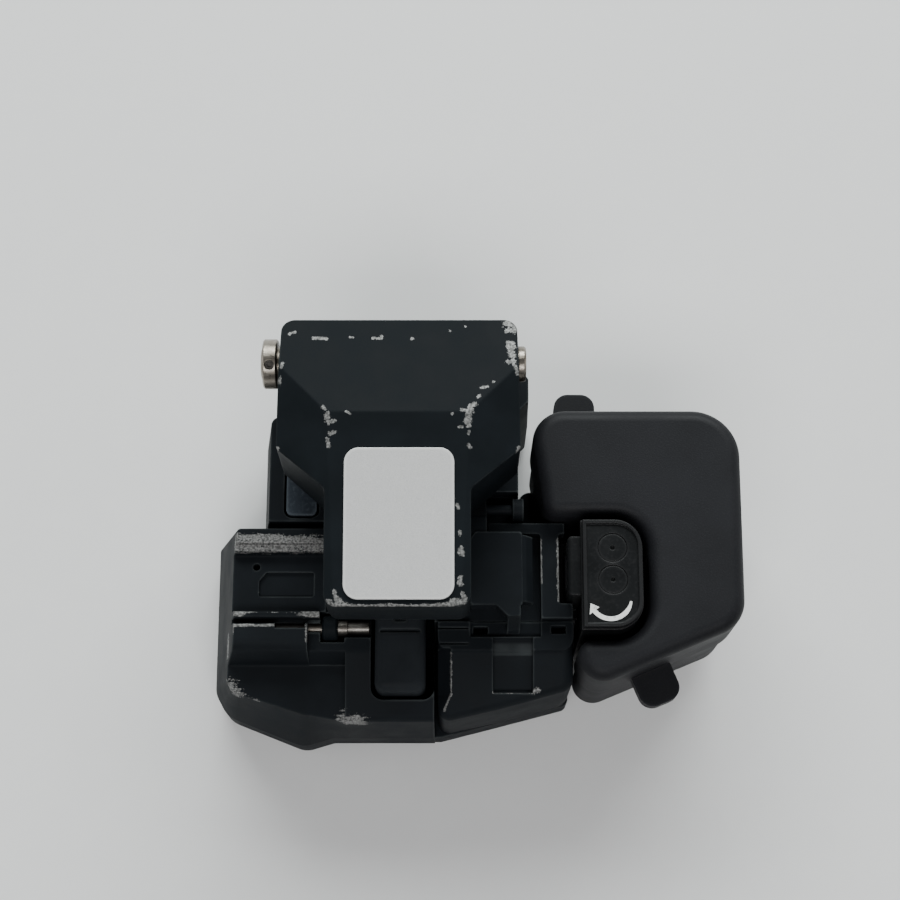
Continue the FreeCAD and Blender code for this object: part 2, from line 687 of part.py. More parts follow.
def slide_rail():
    half = RAIL_W / 2
    groove = RAIL_H / 2
    section = [
        (MID_X - half, BAY_FLOOR_Z),
        (MID_X + half, BAY_FLOOR_Z),
        (MID_X + half, BAY_FLOOR_Z + groove - 0.5),
        (MID_X + half - 0.5, BAY_FLOOR_Z + groove),
        (MID_X + half, BAY_FLOOR_Z + groove + 0.5),
        (MID_X + half, RAIL_Z),
        (MID_X - half, RAIL_Z),
        (MID_X - half, BAY_FLOOR_Z + groove + 0.5),
        (MID_X - half + 0.5, BAY_FLOOR_Z + groove),
        (MID_X - half, BAY_FLOOR_Z + groove - 0.5),
    ]
    rail = front_solid(section, RAIL_FRONT_Y, RAIL_REAR_Y)
    heads = [rod_z(RAIL_Z - RAIL_SCREW_DEPTH, RAIL_Z + 1, MID_X, y, RAIL_SCREW_R + RUN) for y in RAIL_SCREW_YS]
    return rail.cut(heads)


def rail_screws():
    screws = [rod_z(RAIL_Z - RAIL_SCREW_DEPTH, RAIL_Z - RAIL_SCREW_LOW, MID_X, y, RAIL_SCREW_R)
              for y in RAIL_SCREW_YS]
    return Part.makeCompound(screws)


def blade_pocket():
    return rod_x(MID_X - HUB_W / 2 - 0.2, MID_X + HUB_W / 2 + 0.2, BLADE_Y, BLADE_Z, BLADE_R + BLADE_ROOM)


def slider_carriage():
    half = CARRIAGE_W / 2
    body = block(MID_X - half, MID_X + half, CARRIAGE_FRONT_Y, CARRIAGE_REAR_Y, CARRIAGE_BOTTOM_Z, CARRIAGE_Z)
    channel = block(MID_X - CHANNEL, MID_X + CHANNEL, CARRIAGE_FRONT_Y - 1, CARRIAGE_REAR_Y + 1, BAY_FLOOR_Z,
                    RAIL_Z + SLIDE_GAP)
    axle = rod_x(MID_X - half - 1, MID_X + half + 1, BLADE_Y, BLADE_Z, AXLE_R)
    spring = rod_y(CARRIAGE_REAR_Y - SPRING_DEPTH, CARRIAGE_REAR_Y + 1, MID_X, SPRING_Z,
                   SPRING_R + SPRING_WIRE + 0.15)
    return body.cut([channel, blade_pocket(), axle, spring])


def slider_cap():
    half = CAP_W / 2
    rear = CAP_FRONT_Y + CAP_LEN
    top = plate([
        (MID_X - half, CAP_FRONT_Y, 1.6),
        (MID_X + half, CAP_FRONT_Y, 1.6),
        (MID_X + half, rear, 0.4),
        (MID_X - half, rear, 0.4),
    ], CARRIAGE_Z, CAP_Z)
    top = soften(top, CAP_ROUND, lambda e: e.BoundBox.ZMin > CAP_Z - 0.01 and e.BoundBox.YMin < rear - 0.5)
    apron = plate([
        (MID_X - half, CAP_FRONT_Y, 1.6),
        (MID_X + half, CAP_FRONT_Y, 1.6),
        (MID_X + half, CARRIAGE_FRONT_Y),
        (MID_X - half, CARRIAGE_FRONT_Y),
    ], CARRIAGE_BOTTOM_Z + 4, CARRIAGE_Z)
    seam = block(MID_X - half + 0.9, MID_X + half - 0.9, NOSE_Y - 0.2, NOSE_Y + 0.3, CAP_Z - 0.5, CAP_Z + 1)
    return together(top, apron).cut([blade_pocket(), seam])


def blade_axle():
    half = CARRIAGE_W / 2
    return rod_x(MID_X - half, MID_X + half, BLADE_Y, BLADE_Z, AXLE_R)


def blade_ring(profile):
    """Body of revolution about the blade axle; profile is (X from the middle, radius)."""
    corners = [(MID_X + x, BLADE_Z + r) for x, r in profile]
    face = Part.Face(outline(corners, xz(BLADE_Y)))
    return face.revolve(Vec(MID_X, BLADE_Y, BLADE_Z), Vec(1, 0, 0), 360)


BLADE_BORE_R = AXLE_R + 0.75


def blade_disc():
    half = BLADE_T / 2
    return blade_ring([
        (-half, BLADE_BORE_R),
        (half, BLADE_BORE_R),
        (half, BLADE_R - 0.9),
        (0.03, BLADE_R),
        (-0.03, BLADE_R),
        (-half, BLADE_R - 0.9),
    ])


def blade_hub():
    half = BLADE_T / 2
    inner = AXLE_R + RUN
    return blade_ring([
        (-HUB_W / 2, inner),
        (half, inner),
        (half, BLADE_BORE_R),
        (-half, BLADE_BORE_R),
        (-half, HUB_R),
        (-HUB_W / 2, HUB_R - 0.3),
    ])


def blade_nut():
    half = BLADE_T / 2
    inner = AXLE_R + RUN
    nut = blade_ring([(half, inner), (HUB_W / 2, inner), (HUB_W / 2, HUB_R - 0.3), (half, HUB_R)])
    notches = []
    for turn in range(4):
        angle = math.radians(45 + 90 * turn)
        y = BLADE_Y + HUB_R * math.cos(angle)
        z = BLADE_Z + HUB_R * math.sin(angle)
        notches.append(rod_x(MID_X + half + 0.2, MID_X + HUB_W, y, z, 0.45))
    return nut.cut(notches)


def slider_spring():
    rear_room = BAY_REAR_Y - CARRIAGE_REAR_Y
    length = rear_room + SPRING_DEPTH - 2 * SPRING_WIRE - 0.4
    start = Vec(MID_X, CARRIAGE_REAR_Y - SPRING_DEPTH + SPRING_WIRE + 0.2, SPRING_Z)
    return coil(SPRING_R, SPRING_WIRE, SPRING_TURNS, length, start, Vec(0, 1, 0))


# ---------------------------------------------------------------- lock bolt


def lock_bolt():
    tip = MID_X - CAP_W / 2 - BOLT_GAP
    shank = rod_x(BOLT_LEFT_X, tip, BOLT_Y, BOLT_Z, BOLT_R)
    shank = shank.makeChamfer(0.25, [e for e in shank.Edges if e.BoundBox.XMin > tip - 0.01])
    collar_x = KNOB_X + KNOB_W
    return shank.fuse(rod_x(collar_x, collar_x + COLLAR_W, BOLT_Y, BOLT_Z, COLLAR_R))


def bolt_knob():
    knob = rod_x(KNOB_X, KNOB_X + KNOB_W, BOLT_Y, BOLT_Z, KNOB_R)
    knob = knob.makeChamfer(0.35, [e for e in knob.Edges if e.BoundBox.XLength < 0.01])
    return knob.cut(rod_x(KNOB_X - 1, KNOB_X + KNOB_W + 1, BOLT_Y, BOLT_Z, BOLT_R))


# ---------------------------------------------------------------- clamps

JAW_INNER = BAY_HALF


def jaw(side):
    """Steel jaw beside the bay; side -1 is left, 1 is right."""
    near = MID_X + side * JAW_INNER
    far = MID_X + side * (JAW_INNER + JAW_W)
    x0, x1 = min(near, far), max(near, far)
    body = block(x0, x1, FIBRE_Y - JAW_LEN / 2, FIBRE_Y + JAW_LEN / 2, SEAT_Z, SEAT_Z + JAW_T)
    post = block(min(near, near + side * PAD_W), max(near, near + side * PAD_W), FIBRE_Y - PAD_LEN / 2,
                 FIBRE_Y + PAD_LEN / 2, SEAT_Z + JAW_T, FIBRE_Z - PAD_T)
    body = together(body, post)
    return body.cut([rod_z(SEAT_Z - 1, FIBRE_Z, x, y, SCREW_R + RUN) for x, y in jaw_screw_places(side)])


def jaw_screw_places(side):
    x = MID_X + side * (JAW_INNER + JAW_W - 1.7)
    return [(x, FIBRE_Y - JAW_LEN / 2 + 2.2), (x, FIBRE_Y + JAW_LEN / 2 - 2.2)]


def hex_socket(z, x, y, across, depth):
    points = []
    for turn in range(6):
        angle = math.radians(60 * turn)
        points.append((x + across / math.sqrt(3) * math.cos(angle), y + across / math.sqrt(3) * math.sin(angle)))
    return plate(points, z - depth, z + 0.1)


def jaw_screws():
    screws = []
    for side in (-1, 1):
        for x, y in jaw_screw_places(side):
            top = SEAT_Z + JAW_T - 0.2
            screws.append(rod_z(SEAT_Z, top, x, y, SCREW_R).cut(hex_socket(top, x, y, 1.3, SCREW_T)))
    return Part.makeCompound(screws)


def pad(side, z0):
    near = MID_X + side * JAW_INNER
    far = near + side * PAD_W
    return block(min(near, far), max(near, far), FIBRE_Y - PAD_LEN / 2, FIBRE_Y + PAD_LEN / 2, z0, z0 + PAD_T)


ARM_HALF = ARM_W / 2
UPPER_PAD_Z = FIBRE_Z + SEAM


def clamp_arm():
    low = UPPER_PAD_Z + PAD_T
    body = side_solid([
        (ARM_REAR_Y, ARM_PIVOT_Z - 3.0, 1.0),
        (ARM_REAR_Y, ARM_TOP_Z, 2.0),
        (ARM_FRONT_Y, ARM_TOP_Z, 1.5),
        (ARM_FRONT_Y, low, 0.5),
        (FIBRE_Y + PAD_LEN / 2 + 1.0, low, 0.5),
        (FIBRE_Y + PAD_LEN / 2 + 3.5, ARM_TOP_Z - ARM_T, 1.0),
    ], MID_X - ARM_HALF, MID_X + ARM_HALF)
    half = JAW_INNER - 0.6
    gap = block(MID_X - half, MID_X + half, ARM_FRONT_Y - 1, FIBRE_Y + PAD_LEN / 2 + 2.0, low - 1,
                ARM_TOP_Z - ARM_T + 1)
    pivot = rod_x(MID_X - ARM_W, MID_X + ARM_W, ARM_PIVOT_Y, ARM_PIVOT_Z, PIVOT_R + RUN)
    bore = rod_z(low, ARM_TOP_Z + 1, MID_X, FIBRE_Y, ANVIL_STEM_R + RUN)
    return body.cut([gap, pivot, bore])


def clamp_pivot():
    return rod_x(MID_X - SPINE_HALF + 0.6, MID_X + SPINE_HALF - 0.6, ARM_PIVOT_Y, ARM_PIVOT_Z, PIVOT_R)


def anvil():
    tip_z = FIBRE_Z + ANVIL_LIFT
    half = ANVIL_W / 2
    shoe_top = ARM_TOP_Z - ARM_T + 1 - ANVIL_LIFT * 0.3
    shoe = side_solid([
        (FIBRE_Y - ANVIL_LEN / 2, shoe_top),
        (FIBRE_Y + ANVIL_LEN / 2, shoe_top),
        (FIBRE_Y + ANVIL_LEN / 2, tip_z + 1.5, 0.5),
        (FIBRE_Y + 0.8, tip_z, 0.4),
        (FIBRE_Y - 0.8, tip_z, 0.4),
        (FIBRE_Y - ANVIL_LEN / 2, tip_z + 1.5, 0.5),
    ], MID_X - half, MID_X + half)
    stem = rod_z(shoe_top - 0.5, ARM_TOP_Z + 1.6, MID_X, FIBRE_Y, ANVIL_STEM_R)
    return together(shoe, stem)


# ---------------------------------------------------------------- lever


def lever_plan():
    spine = SPINE_HALF
    return [
        (MID_X - spine, NOSE_Y, CORNER_R),
        (MID_X + spine, NOSE_Y, CORNER_R),
        (MID_X + spine, NECK_Y, 1.5),
        (MID_X + LEVER_HALF, SHOULDER_Y, 1.2),
        (MID_X + LEVER_HALF - 0.4, LEVER_REAR_Y, CORNER_R),
        (MID_X - LEVER_HALF + 0.4, LEVER_REAR_Y, CORNER_R),
        (MID_X - LEVER_HALF, SHOULDER_Y, 1.2),
        (MID_X - spine, NECK_Y, 1.5),
    ]


def plateau_z(y):
    return CREST_Z - PLATEAU_SLOPE * (CREST_Y - y)


def roof_section(y, drop):
    """Wire across the lever: the plateau between two side facets that fall outwards."""
    out = LEVER_HALF + 5
    widening = (PLATEAU_CREST_HALF - PLATEAU_NOSE_HALF) / (CREST_Y - NOSE_Y)
    half = PLATEAU_NOSE_HALF + widening * (y - NOSE_Y)
    edge_z = plateau_z(y) - drop
    low_z = edge_z - SIDE_SLOPE * (out - half)
    return outline([
        (MID_X - out, WING_BOTTOM_Z - 20),
        (MID_X + out, WING_BOTTOM_Z - 20),
        (MID_X + out, low_z),
        (MID_X + half, edge_z),
        (MID_X - half, edge_z),
        (MID_X - out, low_z),
    ], xz(y))


def lever_roof(drop):
    """Solid under the faceted top, lowered by drop: plateau, rear facet and two side facets."""
    front = NOSE_Y - 5
    rear = LEVER_REAR_Y + 5
    lengthwise = side_solid([
        (front, WING_BOTTOM_Z - 5),
        (rear, WING_BOTTOM_Z - 5),
        (rear, CREST_Z - REAR_SLOPE * (rear - CREST_Y) - drop),
        (CREST_Y, CREST_Z - drop),
        (front, plateau_z(front) - drop),
    ], MID_X - LEVER_HALF - 5, MID_X + LEVER_HALF + 5)
    across = Part.makeLoft([roof_section(front, drop), roof_section(rear, drop)], True, True)
    return lengthwise.common(across)


def lever_form(wall):
    walls = plate(inset(lever_plan(), wall), WING_BOTTOM_Z - 4, CREST_Z + 5)
    return walls.common(lever_roof(wall))


def lever_skirt():
    """Everything above the lower edge of the lever's walls."""
    return side_solid([
        (NOSE_Y - 2, NOSE_BOTTOM_Z),
        (NECK_Y - 1.5, NOSE_BOTTOM_Z, 1.0),
        (NECK_Y + 1.0, WING_BOTTOM_Z, 1.0),
        (LEVER_REAR_Y + 2, WING_BOTTOM_Z),
        (LEVER_REAR_Y + 2, CREST_Z + 8),
        (NOSE_Y - 2, CREST_Z + 8),
    ], MID_X - LEVER_HALF - 2, MID_X + LEVER_HALF + 2)


def lever_shell():
    outer = lever_form(0).common(lever_skirt())
    shell = outer.cut(lever_form(LEVER_WALL))
    notches = []
    for x0 in (MID_X - EAR_IN - EAR_W, MID_X + EAR_IN):
        notches.append(block(x0 - 0.6, x0 + EAR_W + 0.6, HINGE_Y + 1, LEVER_REAR_Y + 1, WING_BOTTOM_Z - 1,
                             HINGE_Z + 4.0))
    rear_open = block(MID_X - EAR_IN, MID_X + EAR_IN, LEVER_REAR_Y - LEVER_WALL - 1, LEVER_REAR_Y + 1,
                      WING_BOTTOM_Z - 1, HINGE_Z - 6.5)
    lugs = []
    for side in (-1, 1):
        x0 = MID_X + side * (SPINE_HALF - 1.2) - 1.0
        lug = side_solid([
            (ARM_PIVOT_Y - 3.5, ARM_PIVOT_Z - 3.0, 2.5),
            (ARM_PIVOT_Y + 3.5, ARM_PIVOT_Z - 3.0, 2.5),
            (ARM_PIVOT_Y + 5.0, plateau_z(ARM_PIVOT_Y) - 1.0),
            (ARM_PIVOT_Y - 5.0, plateau_z(ARM_PIVOT_Y) - 1.0),
        ], x0, x0 + 2.0)
        lugs.append(lug)
    shell = shell.cut(notches + [rear_open])
    shell = together(shell, *lugs)
    shaft = rod_x(MID_X - LEVER_HALF - 1, MID_X + LEVER_HALF + 1, HINGE_Y, HINGE_Z, SHAFT_R)
    pivot = rod_x(MID_X - SPINE_HALF, MID_X + SPINE_HALF, ARM_PIVOT_Y, ARM_PIVOT_Z, PIVOT_R)
    return shell.cut([shaft, pivot])


def name_plate():
    x0 = LABEL_X - LABEL_W / 2
    y0 = LABEL_REAR_Y - LABEL_LEN
    area = plate([
        (x0, y0, LABEL_R),
        (x0 + LABEL_W, y0, LABEL_R),
        (x0 + LABEL_W, LABEL_REAR_Y, LABEL_R),
        (x0, LABEL_REAR_Y, LABEL_R),
    ], NOSE_BOTTOM_Z, CREST_Z + 2)
    return area.common(lever_roof(-LABEL_T)).cut(lever_roof(0))


COLLAR_RIGHT_X = MID_X - LEVER_HALF - COLLAR_GAP
SHAFT_LEFT_X = COLLAR_RIGHT_X - COLLAR_LEN - 0.3
SHAFT_RIGHT_X = MID_X + LEVER_HALF + SHAFT_STUB


def hinge_shaft():
    shaft = rod_x(SHAFT_LEFT_X, SHAFT_RIGHT_X, HINGE_Y, HINGE_Z, SHAFT_R)
    head = rod_x(MID_X + LEVER_HALF, SHAFT_RIGHT_X, HINGE_Y, HINGE_Z, SHAFT_HEAD_R)
    shaft = together(shaft, head)
    ends = (SHAFT_LEFT_X, SHAFT_RIGHT_X)
    return shaft.makeChamfer(0.3, [e for e in shaft.Edges if e.BoundBox.XLength < 0.01 and e.BoundBox.XMin in ends])


def shaft_collar():
    x1 = COLLAR_RIGHT_X
    ring = rod_x(x1 - COLLAR_LEN, x1, HINGE_Y, HINGE_Z, COLLAR_OUT_R)
    ring = ring.makeChamfer(0.25, [e for e in ring.Edges if e.BoundBox.XLength < 0.01])
    bore = rod_x(x1 - COLLAR_LEN - 1, x1 + 1, HINGE_Y, HINGE_Z, SHAFT_R)
    return ring.cut([bore, grub_hole()])


GRUB_R = 0.8
GRUB_TILT = 20.0


def tilted_rod(radius, start, end):
    """Cylinder across the collar, leaning back from upright."""
    direction = Vec(0, -math.sin(math.radians(GRUB_TILT)), math.cos(math.radians(GRUB_TILT)))
    centre = Vec(COLLAR_RIGHT_X - COLLAR_LEN / 2, HINGE_Y, HINGE_Z)
    return Part.makeCylinder(radius, end - start, centre + direction * start, direction)


def grub_hole():
    return tilted_rod(GRUB_R, SHAFT_R - 0.2, COLLAR_OUT_R + 1)


def collar_grub_screw():
    screw = tilted_rod(GRUB_R, SHAFT_R, COLLAR_OUT_R - 0.6)
    return screw.cut(tilted_rod(GRUB_R * 0.5, COLLAR_OUT_R - 1.0, COLLAR_OUT_R))


def hinge_bushes():
    bushes = []
    for x0 in (MID_X - EAR_IN - EAR_W, MID_X + EAR_IN):
        outer = rod_x(x0, x0 + EAR_W, HINGE_Y, HINGE_Z, SHAFT_R + RUN + BUSH_T)
        bushes.append(outer.cut(rod_x(x0 - 1, x0 + EAR_W + 1, HINGE_Y, HINGE_Z, SHAFT_R + RUN)))
    return Part.makeCompound(bushes)


def lever_spring():
    length = 2 * EAR_IN - 5.0
    start = Vec(MID_X - length / 2, HINGE_Y, HINGE_Z)
    return coil(COIL_R, COIL_WIRE, COIL_TURNS, length, start, Vec(1, 0, 0))


# ---------------------------------------------------------------- guide frame and flap

FRAME_TOP_Z = FIBRE_Z - FRAME_DROP


def guide_frame():
    rear = FRAME_BAR_Y + FRAME_BAR_W
    inlet_front = FIBRE_Y - INLET_HALF - SEAM
    return plate([
        (FLAP_LEFT_X + FLAP_ARM_W + SEAM, FRAME_BAR_Y),
        (POST_X, FRAME_BAR_Y, 0.5),
        (POST_X, GRIP_REAR_Y + 0.1),
        (POST_X + POST_FOOT_W, GRIP_REAR_Y + 0.1),
        (POST_X + POST_FOOT_W, inlet_front, 0.3),
        (POST_X + POST_W, inlet_front, 0.3),
        (POST_X + POST_W, FRAME_BAR_Y, 0.3),
        (FRAME_RIGHT_X, FRAME_BAR_Y),
        (FRAME_RIGHT_X, rear),
        (FLAP_LEFT_X + FLAP_ARM_W + SEAM, rear),
    ], SEAT_Z, FRAME_TOP_Z)


def guide_flap():
    right = FLAP_LEFT_X + FLAP_W
    bottom = FLAP_TOP_Z - FLAP_T
    front = FLAP_REAR_Y - FLAP_LEN
    panel = plate([
        (FLAP_LEFT_X, front, 0.4),
        (FLAP_LEG_X - 1.8, front),
        (FLAP_LEG_X, front - 1.8),
        (FLAP_LEG_X + FLAP_LEG_W, front - 1.8),
        (FLAP_LEG_X + FLAP_LEG_W, front),
        (right, front, 0.4),
        (right, FLAP_REAR_Y, 0.4),
        (FLAP_LEFT_X + 0.9, FLAP_REAR_Y),
        (FLAP_LEFT_X, FLAP_REAR_Y - 1.3),
    ], bottom, FLAP_TOP_Z)
    bevel = front_solid([
        (right - 1.0, bottom),
        (right + FLAP_BEVEL, bottom),
        (right + FLAP_BEVEL, FLAP_TOP_Z - 2.1),
        (right + 0.7, FLAP_TOP_Z - 0.6),
        (right - 0.1, FLAP_TOP_Z),
        (right - 1.0, FLAP_TOP_Z),
    ], front + 0.6, FLAP_REAR_Y - 0.5)
    leg = side_solid([
        (front - 1.8, bottom),
        (front - 1.8, FLAP_TOP_Z),
        (FLAP_LEG_Y, GRIP_TOP_Z + 3.2),
        (FLAP_LEG_Y, GRIP_TOP_Z + 0.5),
        (FLAP_LEG_Y + 1.2, GRIP_TOP_Z + 0.5),
    ], FLAP_LEG_X, FLAP_LEG_X + FLAP_LEG_W)
    arm = side_solid([
        (FLAP_REAR_Y - 1, bottom),
        (FRAME_BAR_Y - SEAM, FRAME_TOP_Z + SEAM),
        (FLAP_PIN_Y - 1.2, FLAP_PIN_Z - 1.2),
        (FLAP_PIN_Y + 1.2, FLAP_PIN_Z - 1.2),
        (FLAP_PIN_Y + 1.8, FLAP_PIN_Z + 1.0),
        (FRAME_BAR_Y + FRAME_BAR_W, FLAP_TOP_Z - 1.5),
        (FLAP_REAR_Y - 1, FLAP_TOP_Z - 0.4),
    ], FLAP_LEFT_X, FLAP_LEFT_X + FLAP_ARM_W)
    flap = together(panel, bevel, leg, arm)
    return flap.cut(rod_x(FLAP_LEFT_X - 1, FLAP_LEFT_X + FLAP_W, FLAP_PIN_Y, FLAP_PIN_Z, FLAP_PIN_R))


def flap_pin():
    return rod_x(LUG_LEFT_X, LUG_RIGHT_X + LUG_W, FLAP_PIN_Y, FLAP_PIN_Z, FLAP_PIN_R)


# ---------------------------------------------------------------- right front grip


GRIP_LEDGE_Y = GRIP_REAR_Y - GRIP_STRIP


def slope_z(y):
    """Height of the sloping top in front of the ledge line."""
    return GRIP_TOP_Z - 0.5 - GRIP_SLOPE * (GRIP_LEDGE_Y - y)


def grip_form(wall):
    """Outer or inner solid of the grip cover."""
    body = plate(grip_plan(wall), SKIRT_Z - (1 if wall else 0), GRIP_TOP_Z + 2)
    top = side_solid([
        (GRIP_REAR_Y + 2, SKIRT_Z - 3),
        (GRIP_REAR_Y + 2, GRIP_TOP_Z - wall),
        (GRIP_LEDGE_Y, GRIP_TOP_Z - wall),
        (GRIP_LEDGE_Y - 0.4, GRIP_TOP_Z - 0.5 - wall, 0.5),
        (GRIP_FRONT_Y - 3, slope_z(GRIP_FRONT_Y - 3) - wall),
        (GRIP_FRONT_Y - 3, SKIRT_Z - 3),
    ], GRIP_LEFT_X - 1, FOOT_RIGHT_X + 1)
    return body.common(top)


def facet_section(y, crease_x):
    """Triangle that is cut off beside the crease of the left facet."""
    z = slope_z(y)
    fall = GRIP_FACET_DROP / GRIP_FACET_W
    left = GRIP_LEFT_X - 3
    return outline([(crease_x, z), (crease_x, z + 3), (left, z + 3), (left, z - fall * (crease_x - left))], xz(y))


def grip_cover():
    outer = grip_form(0)
    outer = soften(outer, GRIP_ROUND, lambda e: e.BoundBox.YMax < GRIP_SIDE_Y + 3 and e.BoundBox.ZMin > SKIRT_Z + 5
                   and e.BoundBox.XLength > 8)
    crease_x = GRIP_LEFT_X + GRIP_FACET_W
    facet = Part.makeLoft([
        facet_section(GRIP_LEDGE_Y + 0.3, crease_x),
        facet_section(GRIP_FRONT_Y + 4.8, crease_x),
        facet_section(GRIP_FRONT_Y - 1, GRIP_LEFT_X - 0.4),
    ], True, True)
    recess = side_solid([
        (THUMB_REAR_Y, GRIP_TOP_Z + 1),
        (THUMB_REAR_Y, GRIP_TOP_Z - THUMB_DEPTH, 0.4),
        (GRIP_LEDGE_Y, GRIP_TOP_Z - 0.5 - THUMB_DEPTH),
        (THUMB_FRONT_Y, slope_z(THUMB_FRONT_Y) - THUMB_DEPTH, 0.3),
        (THUMB_FRONT_Y - 0.3, slope_z(THUMB_FRONT_Y) + 1),
    ], THUMB_X, THUMB_X + THUMB_W)
    step_z = GRIP_TOP_Z - GRIP_STEP_DEPTH
    step = block(GRIP_STEP_X, POST_X, GRIP_STEP_Y, GRIP_REAR_Y + 1, step_z, GRIP_TOP_Z + 1)
    slots = [block(x, x + 2.4, GRIP_STEP_Y + 0.5, GRIP_STEP_Y + 1.8, step_z - 3, GRIP_TOP_Z + 1)
             for x in (GRIP_STEP_X + 0.5, POST_X + 1.7)]
    grooves = [block(GRIP_LEFT_X - 1, GRIP_STEP_X - 0.3, y, y + 0.25, GRIP_TOP_Z - 0.4, GRIP_TOP_Z + 1)
               for y in (GRIP_STEP_Y - 1.3, GRIP_STEP_Y + 1.3)]
    return outer.cut([grip_form(GRIP_WALL), facet, recess, step] + slots + grooves)


# ---------------------------------------------------------------- roller unit

DRIVE_Y = FIBRE_Y - ROLLER_R - NIP_GAP / 2
IDLER_Y = FIBRE_Y + ROLLER_R + NIP_GAP / 2
ROLLER_BOTTOM_Z = WINDOW_Z - 0.8 - ROLLER_LEN
PLATE_TOP_Z = WINDOW_Z + COVER_PLATE_T


def housing_plan(shift):
    return inset([
        (HOUSING_STEP_X, HOUSING_FRONT_Y),
        (HOUSING_RIGHT_X, HOUSING_FRONT_Y, HOUSING_CORNER),
        (HOUSING_RIGHT_X, HOUSING_REAR_Y, HOUSING_CORNER),
        (HOUSING_STEP_X, HOUSING_REAR_Y),
    ], shift)


def roller_housing():
    body = plate(housing_plan(0), HOUSING_BOTTOM_Z, WINDOW_Z)
    foot = block(HOUSING_LEFT_X - 0.4, HOUSING_STEP_X + 1, HOUSING_FRONT_Y + 4, HOUSING_REAR_Y - 1, HOUSING_BOTTOM_Z,
                 INLET_BOTTOM_Z)
    inlet = block(HOUSING_STEP_X - 2.2, HOUSING_STEP_X + 1, FIBRE_Y - INLET_HALF, FIBRE_Y + INLET_HALF,
                  INLET_BOTTOM_Z - 1, INLET_TOP_Z)
    inlet = soften(inlet, 0.8, lambda e: e.BoundBox.XMax < HOUSING_STEP_X - 2.1)
    body = together(body, foot, inlet)
    chambers = [rod_z(ROLLER_BOTTOM_Z - 0.5, WINDOW_Z + 1, ROLLER_X, y, ROLLER_R + 0.5) for y in (DRIVE_Y, IDLER_Y)]
    pivots = [rod_z(ROLLER_BOTTOM_Z - 4, WINDOW_Z, ROLLER_X, y, ROLLER_SHAFT_R + RUN) for y in (DRIVE_Y, IDLER_Y)]
    throat = block(HOUSING_LEFT_X - 1, HOUSING_RIGHT_X + 1, FIBRE_Y - 0.9, FIBRE_Y + 0.9, FIBRE_Z - 1.2, FIBRE_Z + 1.6)
    mouth_wide = outline([
        (FIBRE_Y - 3.2, FIBRE_Z - 1.8), (FIBRE_Y + 3.2, FIBRE_Z - 1.8),
        (FIBRE_Y + 3.2, FIBRE_Z + 3.0), (FIBRE_Y - 3.2, FIBRE_Z + 3.0),
    ], yz(HOUSING_STEP_X - 2.3))
    mouth_narrow = outline([
        (FIBRE_Y - 0.9, FIBRE_Z - 1.2), (FIBRE_Y + 0.9, FIBRE_Z - 1.2),
        (FIBRE_Y + 0.9, FIBRE_Z + 1.6), (FIBRE_Y - 0.9, FIBRE_Z + 1.6),
    ], yz(HOUSING_STEP_X + 0.6))
    mouth = Part.makeLoft([mouth_wide, mouth_narrow], True, True)
    return body.cut(chambers + pivots + [throat, mouth])


def roller_cover():
    top = plate(housing_plan(0.25), WINDOW_Z, PLATE_TOP_Z)
    rim = plate(housing_plan(0.25), PLATE_TOP_Z, PLATE_TOP_Z + RIM_H)
    rim = rim.cut(plate(housing_plan(0.85), PLATE_TOP_Z - 1, PLATE_TOP_Z + 1))
    holes = [rod_z(WINDOW_Z - 1, PLATE_TOP_Z + 1, ROLLER_X, y, DISC_R + RUN) for y in (DRIVE_Y, IDLER_Y)]
    return together(top, rim).cut(holes)


def roller_shaft(y):
    """Spindle with the disc that shows in the cover plate."""
    spindle = rod_z(ROLLER_BOTTOM_Z - 3.5, PLATE_TOP_Z - 0.5, ROLLER_X, y, ROLLER_SHAFT_R)
    disc = rod_z(WINDOW_Z - 0.4, PLATE_TOP_Z - 0.1, ROLLER_X, y, DISC_R)
    dimple = rod_z(PLATE_TOP_Z - 0.5, PLATE_TOP_Z, ROLLER_X, y, 0.35)
    return together(spindle, disc).cut(dimple)


def roller_sleeve(y):
    sleeve = rod_z(ROLLER_BOTTOM_Z, ROLLER_BOTTOM_Z + ROLLER_LEN, ROLLER_X, y, ROLLER_R)
    return sleeve.cut(rod_z(ROLLER_BOTTOM_Z - 1, WINDOW_Z, ROLLER_X, y, ROLLER_SHAFT_R))


# ---------------------------------------------------------------- scrap collector


def collector_plan(wall):
    """C-shaped plan that wraps round the roller housing."""
    cut_rear = HOUSING_REAR_Y + COLLECTOR_GAP
    cut_front = HOUSING_FRONT_Y - COLLECTOR_GAP
    cut_right = HOUSING_RIGHT_X + COLLECTOR_GAP
    return inset([
        (COLLECTOR_CHEEK_X, cut_rear, CHEEK_R),
        (cut_right, cut_rear, HOUSING_CORNER + COLLECTOR_GAP),
        (cut_right, cut_front, HOUSING_CORNER + COLLECTOR_GAP),
        (COLLECTOR_FRONT_X, cut_front, CHEEK_R),
        (COLLECTOR_FRONT_X, COLLECTOR_FRONT_Y, 4.6),
        (COLLECTOR_RIGHT_X, COLLECTOR_RIGHT_Y, 6.0),
        (COLLECTOR_RIGHT_X + 0.2, COLLECTOR_REAR_Y, 8.0),
        (COLLECTOR_LEFT_X, COLLECTOR_REAR_Y, 5.5),
    ], wall)


def collector_tray():
    shift = 0.5
    tray = plate(collector_plan(shift), TRAY_Z, SPLIT_Z - 0.02)
    inside = plate(collector_plan(shift + COLLECTOR_WALL), TRAY_Z + COLLECTOR_WALL, SPLIT_Z + 1)
    return tray.cut(inside)


def finger_tab(x, y, turn):
    half = TAB_W / 2
    tab = plate([
        (-half, -3.0),
        (half, -3.0),
        (half, TAB_OUT, 2.4),
        (-half, TAB_OUT, 2.4),
    ], SPLIT_Z, SPLIT_Z + TAB_T)
    tab.rotate(Vec(), Vec(0, 0, 1), turn)
    tab.translate(Vec(x, y, 0))
    return tab


